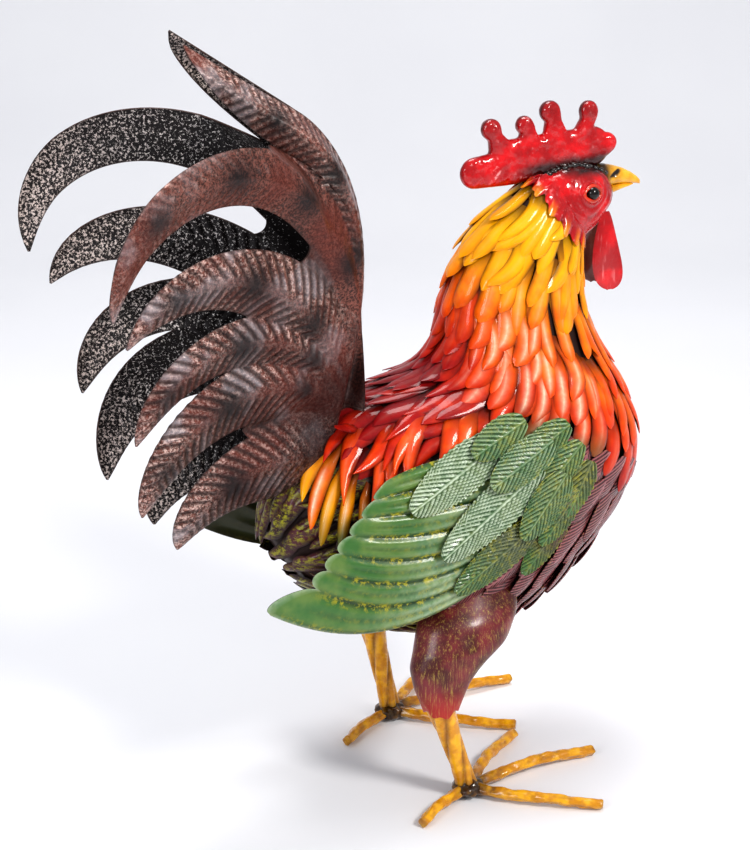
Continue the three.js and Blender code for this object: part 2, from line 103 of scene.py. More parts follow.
def loop_faces(rounds: int, sides: int) -> list[tuple[int, ...]]:
    """Returns the faces of a tube that closes on itself.

    Args:
        rounds: How many rings it has.
        sides: How many points each ring has.

    Returns:
        Four-sided faces.
    """
    faces = []
    for r in range(rounds):
        for c in range(sides):
            here, ahead = r * sides, (r + 1) % rounds * sides
            faces.append((here + c, here + (c + 1) % sides, ahead + (c + 1) % sides, ahead + c))
    return faces


def add_node(tree: bpy.types.NodeTree, kind: str, fed: dict | None = None, **settings: object) -> bpy.types.Node:
    """Adds a node with its settings, links and values.

    Args:
        tree: Where it goes.
        kind: Its type.
        fed: Sockets or values for its inputs, by input name or number.
        **settings: Its own settings.

    Returns:
        The node.
    """
    made = tree.nodes.new(kind)
    for key, value in settings.items():
        setattr(made, key, value)
    for key, source in (fed or {}).items():
        if isinstance(source, Socket):
            tree.links.new(source, made.inputs[key])
        else:
            made.inputs[key].default_value = source
    return made


def link_new(name: str, data: bpy.types.ID) -> Piece:
    """Links a new object to the scene.

    Args:
        name: Its name.
        data: Its mesh, lamp or camera.

    Returns:
        The object.
    """
    made = bpy.data.objects.new(name, data)
    bpy.context.scene.collection.objects.link(made)
    return made


def linear(code: str) -> tuple[float, float, float, float]:
    """Turns an sRGB hex colour into the linear colour that a shader takes.

    Args:
        code: Six hex digits.

    Returns:
        Red, green, blue and an alpha of one.
    """
    parts = [int(code[i : i + 2], 16) / 255 for i in (0, 2, 4)]
    lit = [p / 12.92 if p <= 0.04045 else ((p + 0.055) / 1.055) ** 2.4 for p in parts]
    return (lit[0], lit[1], lit[2], 1.0)


@dataclass(frozen=True)
class Placing:
    """Carries the bird's own millimetres into the shared frame's metres."""

    shift: tuple[float, float]

    @classmethod
    def from_ankle(cls) -> "Placing":
        """Returns the placing that puts the right ankle on its solid.

        Returns:
            The placing.
        """
        low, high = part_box("ankle_weld_right")
        middle = (low + high) / (2 * MM)
        return cls((middle.x - ANKLE_AT[0], middle.y - ANKLE_AT[1]))

    def metres(self, points: Array) -> Array:
        """Returns points in the shared frame, in metres."""
        return (np.asarray(points, float) + np.array([*self.shift, 0.0])) * MM


class MeshBuilder:
    """Gathers closed sheets and tubes into one mesh with values on its vertices."""

    def __init__(self, placing: Placing) -> None:
        """Starts empty.

        Args:
            placing: Where the bird stands in the shared frame.
        """
        self.placing = placing
        self.points: list[Array] = []
        self.faces: list[tuple[int, ...]] = []
        self.values: dict[str, list[Array]] = {}
        self.count = 0

    def add(self, points: Array, faces: Sequence[tuple[int, ...]], **values: Array) -> None:
        """Adds vertices, faces and values.

        Args:
            points: Vertices in millimetres.
            faces: Faces, numbered from the first of these vertices.
            **values: One number for each vertex, under the name a material reads.
        """
        size = len(points)
        for name in set(values) | set(self.values):
            kept = self.values.setdefault(name, [np.zeros(self.count)] if self.count else [])
            kept.append(np.broadcast_to(np.asarray(values.get(name, 0.0), float), (size,)).copy())
        self.points.append(np.asarray(points, float))
        self.faces.extend(tuple(i + self.count for i in face) for face in faces)
        self.count += size

    def plate(self, grid: Array, thickness: float, outward: Array, **values: Array) -> None:
        """Adds a sheet with a back and edges.

        Args:
            grid: Rows and columns of points on its outer face.
            thickness: How far behind the outer face its back lies.
            outward: A direction, or one for each point, that the outer face looks in.
            **values: A number for each point of the grid.
        """
        rows, columns = grid.shape[:2]
        along, across = np.gradient(grid, axis=0), np.gradient(grid, axis=1)
        normal = np.cross(across, along)
        normal /= np.linalg.norm(normal, axis=2, keepdims=True) + 1e-9
        facing = np.sum(normal * outward) > 0
        back = grid - normal * thickness * (1 if facing else -1)
        half = rows * columns
        faces: list[tuple[int, ...]] = []
        for r in range(rows - 1):
            for c in range(columns - 1):
                a = r * columns + c
                faces.append((a, a + 1, a + columns + 1, a + columns))
                faces.append((half + a, half + a + columns, half + a + columns + 1, half + a + 1))
        rim = list(range(columns))
        rim += [r * columns + columns - 1 for r in range(1, rows)]
        rim += [(rows - 1) * columns + c for c in range(columns - 2, -1, -1)]
        rim += [r * columns for r in range(rows - 2, 0, -1)]
        for p, q in zip(rim, rim[1:] + rim[:1]):
            faces.append((q, p, half + p, half + q))
        if not facing:
            faces = [face[::-1] for face in faces]
        doubled = {k: np.tile(np.broadcast_to(v, (rows, columns)).ravel(), 2) for k, v in values.items()}
        doubled["back"] = np.repeat([0.0, 1.0], half)
        self.add(np.concatenate([grid.reshape(-1, 3), back.reshape(-1, 3)]), faces, **doubled)

    def tube(self, rings: Array, **values: Array) -> None:
        """Adds a solid through rings of points, closed by a point at each end.

        Args:
            rings: Rows of rings, each with the same number of points.
            **values: A number for each point of the rings.
        """
        rows, sides = rings.shape[:2]
        faces = loop_faces(rows, sides)[: (rows - 1) * sides]
        total = rows * sides
        last = total - sides
        for c in range(sides):
            faces.append(((c + 1) % sides, c, total))
            faces.append((last + c, last + (c + 1) % sides, total + 1))
        ends = np.array([rings[0].mean(axis=0), rings[-1].mean(axis=0)])
        points = np.concatenate([rings.reshape(-1, 3), ends])
        a, b, c = (points[[face[i] for face in faces]] for i in range(3))
        if np.sum(a * np.cross(b, c)) < 0:
            faces = [face[::-1] for face in faces]
        grown = {}
        for name, value in values.items():
            full = np.broadcast_to(value, (rows, sides))
            grown[name] = np.concatenate([full.ravel(), [full[0].mean(), full[-1].mean()]])
        self.add(points, faces, **grown)

    def build(self, name: str, *materials: Paint, sharp: float = 50.0) -> Piece:
        """Makes the object.

        Args:
            name: Name of the object and its mesh.
            *materials: Its materials.
            sharp: Angle in degrees above which an edge is sharp.

        Returns:
            The object, linked to the scene.
        """
        mesh = bpy.data.meshes.new(name)
        placed = self.placing.metres(np.concatenate(self.points))
        mesh.from_pydata(placed.tolist(), [], self.faces)
        for key, parts in self.values.items():
            attribute = mesh.attributes.new(key, "FLOAT", "POINT")
            attribute.data.foreach_set("value", np.concatenate(parts).astype(np.float32))
        made = link_new(name, mesh)
        turn_outward(mesh)
        finish_mesh(mesh, sharp)
        for material in materials:
            mesh.materials.append(material)
        return made


def turn_outward(mesh: bpy.types.Mesh) -> None:
    """Turns the faces of each closed island to look outward.

    Args:
        mesh: The mesh that is changed.
    """
    work = bmesh.new()
    work.from_mesh(mesh)
    bmesh.ops.recalc_face_normals(work, faces=work.faces)
    work.to_mesh(mesh)
    work.free()


def finish_mesh(mesh: bpy.types.Mesh, sharp: float) -> None:
    """Shades a mesh smooth, but for edges over an angle of sharp degrees."""
    mesh.shade_smooth()
    mesh.set_sharp_from_angle(angle=math.radians(sharp))


class Shader:
    """Builds one material's nodes."""

    def __init__(self, name: str) -> None:
        """Starts a material with an output only.

        Args:
            name: Name of the material.
        """
        self.material = bpy.data.materials.new(name)
        self.material.use_nodes = True
        self.tree = self.material.node_tree
        self.tree.nodes.clear()
        self.out = self.tree.nodes.new("ShaderNodeOutputMaterial")
        self.where = self.node("ShaderNodeTexCoord").outputs["Object"]

    def node(self, kind: str, fed: dict | None = None, **settings: object) -> bpy.types.Node:
        """Adds a node to this material, as add_node does."""
        return add_node(self.tree, kind, fed, **settings)

    def value(self, name: str) -> Socket:
        """Returns a number kept on the vertices."""
        return self.node("ShaderNodeAttribute", attribute_name=name).outputs["Fac"]

    def noise(self, size_mm: float, detail: float = 3.0, rough: float = 0.5, stretch: tuple = (1, 1, 1)) -> Socket:
        """Returns noise of a real size.

        Args:
            size_mm: Size of one blotch in millimetres.
            detail: Octaves.
            rough: Weight of the finer octaves.
            stretch: How many times finer it is along each axis.

        Returns:
            The noise, from 0 to 1.
        """
        place = self.node("ShaderNodeMapping", {"Vector": self.where, "Scale": stretch}).outputs[0]
        fed = {"Vector": place, "Scale": 1 / (size_mm * MM), "Detail": detail, "Roughness": rough}
        return self.node("ShaderNodeTexNoise", fed).outputs["Fac"]

    def span(self, source: Socket, low: float, high: float, start: float = 0.0, end: float = 1.0) -> Socket:
        """Returns source carried from low..high to start..end, held at the ends."""
        fed = {"Value": source, "From Min": low, "From Max": high, "To Min": start, "To Max": end}
        return self.node("ShaderNodeMapRange", fed, interpolation_type="SMOOTHSTEP").outputs[0]

    def patchy(self, size_mm: float, detail: float, low: float, high: float) -> Socket:
        """Returns a roughness that drifts from low to high in blotches of a real size."""
        return self.span(self.noise(size_mm, detail), 0.3, 0.7, low, high)

    def sum(self, operation: str, a: object, b: object) -> Socket:
        """Returns two numbers or sockets joined by an operation."""
        return self.node("ShaderNodeMath", {0: a, 1: b}, operation=operation).outputs[0]

    def ramp(self, source: Socket, stops: Sequence[tuple[float, str]]) -> Socket:
        """Returns a colour from a ramp of places and hex colours.

        Args:
            source: Place on the ramp.
            stops: Places and hex codes.

        Returns:
            The colour.
        """
        made = self.node("ShaderNodeValToRGB", {"Fac": source})
        elements = made.color_ramp.elements
        while len(elements) < len(stops):
            elements.new(0.5)
        # All places come first, because the ramp sorts its stops as they move.
        for element, (place, _) in zip(elements, stops):
            element.position = place
        for element, (_, code) in zip(elements, stops):
            element.color = linear(code)
        return made.outputs["Color"]

    def mix(self, a: object, b: object, *shares: object) -> Socket:
        """Lays one colour over another.

        Args:
            a: The colour below, a socket or a hex code.
            b: The colour above, a socket or a hex code.
            *shares: Numbers or sockets, whose product is how much of b shows.

        Returns:
            The mixed colour.
        """
        share = shares[0]
        for more in shares[1:]:
            share = self.sum("MULTIPLY", share, more)
        below, above = (linear(c) if isinstance(c, str) else c for c in (a, b))
        return self.node("ShaderNodeMix", {0: share, 6: below, 7: above}, data_type="RGBA").outputs[2]

    def surface(
        self,
        colour: Socket,
        roughness: object,
        metallic: float = 0.0,
        coat: float = 0.0,
        coat_roughness: float = 0.1,
        specular: float = 0.3,
        bumps: Sequence[tuple[Socket, float]] = (),
    ) -> Paint:
        """Ends the material in a painted metal surface.

        Args:
            colour: A colour socket.
            roughness: A number or a socket.
            metallic: Share of bare metal.
            coat: Weight of the clear coat.
            coat_roughness: Roughness of the clear coat.
            specular: Level of the reflection under the coat.
            bumps: Heights and how many millimetres each is deep.

        Returns:
            The material.
        """
        fed = {"Base Color": colour, "Roughness": roughness, "Metallic": metallic, "Specular IOR Level": specular}
        fed |= {"Coat Weight": coat, "Coat Roughness": coat_roughness}
        normal = {}
        for height, depth_mm in bumps:
            bump = {"Height": height, "Distance": depth_mm * MM, "Strength": 1.0}
            normal = {"Normal": self.node("ShaderNodeBump", bump | normal).outputs[0]}
        shader = self.node("ShaderNodeBsdfPrincipled", fed | normal)
        self.tree.links.new(shader.outputs[0], self.out.inputs["Surface"])
        return self.material


@dataclass(frozen=True)
class FeatherEnamel:
    """Airbrushed gloss enamel on the feather fingers, with a pale crest that is partly dry brushing and partly painted
    highlight, and painted shade at the roots and edges.
    """

    name: str = "airbrushed_gloss_enamel"
    stops: tuple[tuple[float, str], ...] = (
        (0.0, "f4b200"),
        (0.26, "f09606"),
        (0.42, "ee6a06"),
        (0.56, "e44806"),
        (0.70, "c42a0a"),
        (0.84, "931014"),
        (1.0, "6a0d16"),
    )
    pale: str = "ffe2c4"
    mist: str = "345f2e"
    dirt: str = "280806"

    def build(self) -> Paint:
        """Mixes the paint.

        Returns:
            The material.
        """
        s = Shader(self.name)
        cloud = s.span(s.noise(14, 2), 0.3, 0.7, -0.05, 0.05)
        tone = s.sum("ADD", s.value("tone"), cloud)
        # The airbrushed run from yellow to deep red gives the eye the bird's main colours.
        base = s.ramp(tone, self.stops)
        # Pale on the crest of each finger, partly worn dry brushing and partly a painted highlight.
        crest = s.sum("MULTIPLY", s.sum("POWER", s.value("crest"), 3.2), s.value("pale"))
        wear_and_highlight = s.span(s.noise(4, 4, 0.6), 0.25, 0.75, 0.6, 1.0)
        colour = s.mix(base, self.pale, crest, wear_and_highlight)
        colour = s.mix(colour, self.mist, s.value("mist"))
        # Painted shade at the roots and along the edges, where the fingers shade one another, keeps them apart; the
        # backs take the same dark colour.
        colour = s.mix(colour, self.dirt, s.value("rim"), 0.85)
        colour = s.mix(colour, self.dirt, s.value("back"), 0.8)
        bumps = [(s.noise(2.2, 2), 0.06), (s.noise(9, 1), 0.8)]
        rough = s.patchy(6, 2, 0.3, 0.46)
        return s.surface(colour, rough, coat=0.35, coat_roughness=0.08, specular=0.08, bumps=bumps)


@dataclass(frozen=True)
class RumpEnamel:
    """Purple-brown enamel with yellow-green paint dragged over the crests."""

    name: str = "dry_brushed_plum_enamel"
    base: str = "2c1216"
    plum: str = "52242c"
    drag: str = "97921c"

    def build(self) -> Paint:
        """Mixes the paint.

        Returns:
            The material.
        """
        s = Shader(self.name)
        base = s.mix(self.base, self.plum, s.span(s.noise(20, 2), 0.35, 0.65))
        # A nearly dry brush leaves broken yellow-green streaks on what stands out.
        streak = s.span(s.noise(5, 5, 0.7, (1, 1, 2)), 0.44, 0.58)
        colour = s.mix(base, self.drag, streak, s.value("crest"))
        # Painted shade at the roots and edges of the fingers, where they shade one another.
        colour = s.mix(colour, "0d0707", s.value("rim"), 0.8)
        bumps = [(s.noise(2.4, 3), 0.1)]
        return s.surface(colour, s.patchy(7, 2, 0.3, 0.5), coat=0.2, coat_roughness=0.2, bumps=bumps)


@dataclass(frozen=True)
class RedEnamel:
    """Thick glossy red enamel over hammered steel."""

    name: str
    deep: str = "a2020c"
    red: str = "d20612"
    pale: str = "f5a5a5"
    shade: str = "1d0807"
    streaks: bool = False
    dents_mm: float = 1.0

    def build(self) -> Paint:
        """Mixes the paint.

        Returns:
            The material.
        """
        s = Shader(self.name)
        colour = s.mix(self.deep, self.red, s.span(s.noise(16, 2), 0.35, 0.7))
        # Painted highlight: pale pink on the raised dents of the comb and face, and in streaks down the wattle.
        marks = s.noise(7.0, 3, 0.55, (2.5, 1, 0.3)) if self.streaks else s.noise(5, 3, 0.6)
        pink_highlight = s.span(marks, 0.55, 0.72)
        colour = s.mix(colour, self.pale, pink_highlight, s.value("pale"))
        # Dark shading sprayed round the beak, under the comb and on the knobs, and painted shade in the folds round
        # the eye and in the troughs of the ruffles.
        colour = s.mix(colour, self.shade, s.value("shade"))
        # Gold from the neck runs over the ruffled edge of the head sheet.
        colour = s.mix(colour, "e58e08", s.value("gold"))
        colour = s.mix(colour, "43332a", s.value("back"), 0.85)
        bumps = [(s.noise(5, 1), self.dents_mm), (s.noise(1.6, 2), 0.04)]
        return s.surface(colour, s.patchy(9, 2, 0.22, 0.36), coat=0.8, coat_roughness=0.05, specular=0.2, bumps=bumps)


@dataclass(frozen=True)
class GreenEnamel:
    """Green enamel with silver-green over the raised work, partly dry brushing and partly painted sheen, olive in the
    hollows and painted shade in the grooves.
    """

    name: str
    groove: str = "0f2a17"
    green: str = "3d6a31"
    pale: str = "cfdcc4"
    olive: str = "9c961c"
    plum: str = "6e2434"

    def build(self) -> Paint:
        """Mixes the paint.

        Returns:
            The material.
        """
        s = Shader(self.name)
        base = s.mix(self.green, "6b8240", s.span(s.noise(20, 3), 0.35, 0.65, 0.0, 0.7))
        base = s.mix(base, self.plum, s.value("plum"))
        # Painted shade: dark green in the grooves between the ribs and barbs.
        base = s.mix(base, self.groove, s.value("groove"), 0.9)
        # Olive paint dragged through the hollows between the ribs.
        drag = s.span(s.noise(4.5, 5, 0.7), 0.48, 0.62)
        colour = s.mix(base, self.olive, drag, s.value("olive"))
        # Silver-green on the crests, partly dry brushing and partly a painted highlight, makes the pressed barbs read
        # from afar.
        wear_and_highlight = s.span(s.noise(6, 4, 0.6), 0.3, 0.6, 0.45, 1.0)
        colour = s.mix(colour, self.pale, wear_and_highlight, s.value("pale"))
        colour = s.mix(colour, "2a2619", s.value("back"), 0.9)
        bumps = [(s.noise(2.4, 3), 0.08), (s.noise(14, 1), 0.4)]
        return s.surface(colour, s.patchy(8, 3, 0.3, 0.46), coat=0.3, coat_roughness=0.16, bumps=bumps)


@dataclass(frozen=True)
class PlumEnamel:
    """Burgundy enamel with ochre dragged over it, on the thighs and the breast plates."""

    name: str
    deep: str = "4a1719"
    plum: str = "76292f"
    red: str = "b4281c"
    drag: str = "b3994a"
    barb_mm: float = 0.0

    def build(self) -> Paint:
        """Mixes the paint.

        Returns:
            The material.
        """
        s = Shader(self.name)
        colour = s.mix(self.deep, self.plum, s.span(s.noise(22, 3), 0.35, 0.65))
        colour = s.mix(colour, self.red, s.value("red"))
        bumps = [(s.noise(2.2, 3), 0.08)]
        if self.barb_mm:
            # Barbs pressed on the slant from the quill, one after the other along the plate.
            off = s.value("off")
            slant = s.sum("SUBTRACT", s.value("run"), s.sum("MULTIPLY", off, 1.3))
            wave = s.sum("COSINE", s.sum("MULTIPLY", slant, 2 * math.pi / self.barb_mm), 0.0)
            barb = s.sum("MAXIMUM", s.span(wave, -0.7, 0.6), s.span(off, 1.8, 0.9))
            # Painted shade in the barb grooves, and a painted pink highlight on their crests.
            colour = s.mix(colour, "2a0d13", s.span(barb, 0.0, 1.0, 0.75, 0.0))
            colour = s.mix(colour, "c08a86", s.span(barb, 0.6, 1.0), 0.3)
            bumps.append((barb, 1.1))
        # Fine ochre scratches left by a dry brush dragged along the leg and the barbs.
        fine = s.span(s.noise(5.0, 9, 0.8, (3.0, 3.0, 0.22)), 0.5, 0.66)
        colour = s.mix(colour, self.drag, fine, s.value("drag"))
        return s.surface(colour, s.patchy(8, 3, 0.3, 0.46), coat=0.3, coat_roughness=0.18, bumps=bumps)


@dataclass(frozen=True)
class CopperSpeckle:
    """Sponged copper-brown paint on the outside of the tail, with soft black clouds."""

    name: str = "sponged_copper_paint"
    brown: str = "341c17"
    copper: str = "8a5448"
    rose: str = "e0bfb4"
    cloud: str = "0d0e11"

    def build(self) -> Paint:
        """Mixes the paint.

        Returns:
            The material.
        """
        s = Shader(self.name)
        # Two sizes of sponge marks break the brown into copper grains.
        grain = s.span(s.noise(1.9, 4, 0.75), 0.4, 0.62)
        colour = s.mix(self.brown, self.copper, grain)
        # Rose flecks where the paint is pale: worn at the tips and edges, and a painted highlight on the upper halves
        # and barb crests.
        light = s.span(s.noise(2.6, 5, 0.75), 0.45, 0.62)
        colour = s.mix(colour, self.rose, light, s.value("pale"))
        warm = s.span(s.noise(60, 1), 0.45, 0.65)
        colour = s.mix(colour, "6a2416", warm, 0.5)
        # A grey sheen lies over the ribs in patches.
        sheen = s.sum("MULTIPLY", s.span(s.noise(34, 2), 0.5, 0.62), s.value("pale"))
        colour = s.mix(colour, "a9a6ab", sheen, 0.55)
        # Painted shade: dark in the pressed grooves and over the lower half of each sickle, away from the light, makes
        # the ribs read from afar.
        colour = s.mix(colour, "150c0b", s.value("groove"), 0.8)
        # Airbrushed black clouds sit by the quills and the slit ends, with painted shade round the tail's root.
        colour = s.mix(colour, self.cloud, s.value("cloud"))
        colour = s.mix(colour, "2a1712", s.value("rim"))
        bumps = [(s.noise(1.5, 3), 0.08)]
        rough = s.patchy(6, 3, 0.36, 0.55)
        return s.surface(colour, rough, metallic=0.25, coat=0.15, coat_roughness=0.3, bumps=bumps)


@dataclass(frozen=True)
class BlackSpeckle:
    """Near-black paint with white and pink flecks on the inside of the tail."""

    name: str = "flecked_black_paint"
    black: str = "1d1819"
    fleck: str = "f2eeec"
    pink: str = "cdbdb6"

    def build(self) -> Paint:
        """Mixes the paint.

        Returns:
            The material.
        """
        s = Shader(self.name)
        # Flecks grow denser and pinker towards the tips.
        denser = s.span(s.value("along"), 0.2, 0.95, -0.05, 0.05)
        flecks = s.span(s.sum("ADD", s.noise(2.1, 5, 0.75), denser), 0.565, 0.6)
        tint = s.mix(self.fleck, self.pink, s.span(s.value("along"), 0.35, 0.9))
        colour = s.mix(self.black, tint, flecks)
        colour = s.mix(colour, "241512", s.value("rim"))
        return s.surface(colour, s.patchy(5, 3, 0.38, 0.58), metallic=0.15, bumps=[(flecks, 0.05)])


@dataclass(frozen=True)
class OchrePaint:
    """Golden ochre enamel with brown shading on the rods, shanks and beak."""

    name: str
    ochre: str = "cf8a0c"
    brown: str = "4e270b"
    bright: str = "eeae14"

    def build(self) -> Paint:
        """Mixes the paint.

        Returns:
            The material.
        """
        s = Shader(self.name)
        colour = s.mix(self.ochre, self.bright, s.span(s.noise(9, 3), 0.4, 0.65))
        # Painted shade: brown in the folds, between the hammer marks and towards the ankle and the beak's root, laid
        # on in blotches.
        dirt = s.span(s.noise(5, 4, 0.6, (1, 1, 0.35)), 0.3, 0.7, 0.5, 1.0)
        colour = s.mix(colour, self.brown, dirt, s.value("shade"))
        colour = s.mix(colour, "140b08", s.value("dark"))
        bumps = [(s.noise(2.4, 2), 0.1), (s.noise(7, 1), 0.7)]
        return s.surface(colour, s.patchy(6, 2, 0.24, 0.4), coat=0.6, coat_roughness=0.08, bumps=bumps)


@dataclass(frozen=True)
class PlainPaint:
    """One colour of paint for the small or hidden parts."""

    name: str
    colour: str
    roughness: float
    coat: float = 0.0
    dents_mm: float = 0.1

    def build(self) -> Paint:
        """Mixes the paint.

        Returns:
            The material.
        """
        s = Shader(self.name)
        # A little grain keeps even the plainest paint from looking like plastic.
        colour = s.mix(self.colour, "2c211c", s.span(s.noise(8, 3), 0.35, 0.65, 0.0, 0.35))
        return s.surface(colour, self.roughness, coat=self.coat, bumps=[(s.noise(3, 3), self.dents_mm)])


class BodyForm:
    """The lofted body that the feathers lie on, by section, by turn from the back, and by lift."""

    # Lift at which the feathers' spacing is measured.
    SKIN = 4
    # Back X and Z, breast X and Z, and half width of each section, from the head to the rump.
    ROWS = np.array(
        [
            (73, 490, 130, 456, 27),
            (46, 468, 128, 428, 34),
            (26, 440, 131, 400, 41),
            (15, 408, 144, 366, 50),
            (10, 378, 168, 325, 63),
            (-6, 354, 184, 275, 74),
            (-34, 343, 171, 224, 79),
            (-64, 334, 136, 178, 78),
            (-92, 318, 90, 142, 73),
            (-116, 298, 38, 126, 67),
            (-134, 277, -24, 130, 58),
            (-145, 255, -78, 150, 46),
            (-149, 236, -112, 178, 32),
            (-152, 222, -130, 192, 18),
        ],
        float,
    )

    def row(self, section: Array) -> Array:
        """Returns the section rows at fractional places, smooth between and straight beyond.

        Args:
            section: Places along the body.

        Returns:
            Back X and Z, breast X and Z, and half width of each.
        """
        section = np.asarray(section, float)
        last = len(self.ROWS) - 1
        first = np.clip(np.floor(section).astype(int), 0, last - 1)
        t = (section - first)[..., None]
        p0, p1 = self.ROWS[np.clip(first - 1, 0, last)], self.ROWS[first]
        p2, p3 = self.ROWS[first + 1], self.ROWS[np.clip(first + 2, 0, last)]
        square, cube = 2 * p0 - 5 * p1 + 4 * p2 - p3, 3 * p1 - p0 - 3 * p2 + p3
        curve = 0.5 * (2 * p1 + (p2 - p0) * t + square * t**2 + cube * t**3)
        beyond = ((section < 0) | (section > last))[..., None]
        return np.where(beyond, p1 + (p2 - p1) * t, curve)

    def point(self, section: Array, turn: Array, lift: Array) -> Array:
        """Returns points on the body.

        Args:
            section: Place along the body, from 0 at the head.
            turn: Radians from the back round to the left.
            lift: Height above the body in millimetres.

        Returns:
            Points in millimetres.
        """
        row = self.row(section)
        reach = row[..., 0:2] - row[..., 2:4]
        radius = np.linalg.norm(reach, axis=-1) / 2
        reach = reach / (2 * radius[..., None])
        out = (radius + lift) * np.cos(turn)
        x = (row[..., 0] + row[..., 2]) / 2 + reach[..., 0] * out
        z = (row[..., 1] + row[..., 3]) / 2 + reach[..., 1] * out
        return np.stack([x, (row[..., 4] + lift) * np.sin(turn), z], axis=-1)

    def outward(self, section: Array, turn: Array) -> Array:
        """Returns the outward directions at places on the body."""
        rise = self.point(section, turn, 1.0) - self.point(section, turn, 0.0)
        return rise / np.linalg.norm(rise, axis=-1, keepdims=True)

    def per_section(self, section: float, turn: float) -> float:
        """Returns the millimetres along the body in one section."""
        ahead, behind = (self.point(section + step, turn, self.SKIN) for step in (0.1, -0.1))
        return float(np.linalg.norm(ahead - behind) / 0.2)

    def per_turn(self, section: Array, turn: Array) -> Array:
        """Returns the millimetres round the body in one radian."""
        left, right = (self.point(section, turn + step, self.SKIN) for step in (0.05, -0.05))
        return np.linalg.norm(left - right, axis=-1) / 0.1

    def girth(self, section: float) -> float:
        """Returns the length round the body at a section.

        Args:
            section: Place along the body.

        Returns:
            Millimetres.
        """
        turns = np.linspace(0, 2 * math.pi, 73)
        ring = self.point(np.full(73, section), turns, self.SKIN)
        return float(np.linalg.norm(np.diff(ring, axis=0), axis=1).sum())


@dataclass
class Leaf:
    """One feather finger on the body, from its root to its tip."""

    root: tuple[float, float]
    tip: tuple[float, float]
    width: float
    bow: float = 0.0
    crown: float = 2.0
    lift: tuple[float, float] = (0.6, 6.0)
    curl: float = 0.0
    taper: float = 0.42
    point: float = 1.7
    blunt: float = 0.62
    root_width: float = 1.0
    tone: tuple[float, float] = (0.5, 0.6)
    pale: float = 0.3
    mist: tuple[float, float] = (0.0, 0.0)


class LeafMaker:
    """Lays leaves on the body as closed plates with the values their paint reads."""

    THICKNESS = 0.7
    ROWS = 15
    COLUMNS = 9

    def __init__(self, body: BodyForm, placing: Placing) -> None:
        """Starts an empty mesh.

        Args:
            body: What the leaves lie on.
            placing: Where the bird stands.
        """
        self.body = body
        self.mesh = MeshBuilder(placing)

    def lay(self, leaf: Leaf) -> None:
        """Adds one leaf.

        Args:
            leaf: What is laid.
        """
        u = np.linspace(0, 0.995, self.ROWS)
        v = np.linspace(-1, 1, self.COLUMNS)
        section = leaf.root[0] + (leaf.tip[0] - leaf.root[0]) * u
        turn = math.radians(leaf.root[1]) + math.radians(leaf.tip[1] - leaf.root[1]) * u
        turn = turn + leaf.bow * (u - u * u) * 2 / self.body.per_turn(section, turn)
        cap = (1 - np.clip((u - leaf.taper) / (1 - leaf.taper), 0, 1) ** leaf.point) ** leaf.blunt
        half = leaf.width / 2 * cap * (leaf.root_width + (1 - leaf.root_width) * smooth(0, 0.4, u))
        # From here on a value has one row for each place along and one column for each place across.
        u, v, section, half = u[:, None], v[None], section[:, None], half[:, None]
        turns = turn[:, None] + v * (half / self.body.per_turn(section, turn[:, None]))
        swell = leaf.crown * (0.35 + 0.65 * smooth(0, 0.3, u)) * (1 - 0.45 * u**5)
        swell = swell * np.minimum(1, half / (leaf.width / 2) + 0.2)
        lift = leaf.lift[0] + (leaf.lift[1] - leaf.lift[0]) * u + leaf.curl * smooth(0.45, 1.1, u) * u
        grid = self.body.point(section, turns, lift + swell * (1 - np.abs(v) ** 2.0))
        # Painted shade along the edges and at the root of each finger, where its neighbours shade it.
        edge = smooth(0.55, 1.0, np.abs(v)) * 0.9 * smooth(0.0, 0.3, 1 - u)
        self.mesh.plate(
            grid,
            self.THICKNESS,
            self.body.outward(section, turns),
            tone=leaf.tone[0] + (leaf.tone[1] - leaf.tone[0]) * u,
            crest=(1 - np.abs(v)) ** 1.1 * (smooth(0.1, 0.45, u) * (1 - 0.5 * smooth(0.8, 1, u))),
            pale=leaf.pale,
            mist=np.clip(leaf.mist[0] + (leaf.mist[1] - leaf.mist[0]) * smooth(0.3, 1, u), 0, 1),
            rim=np.maximum(edge, 1 - smooth(0.0, 0.5, u)),
        )


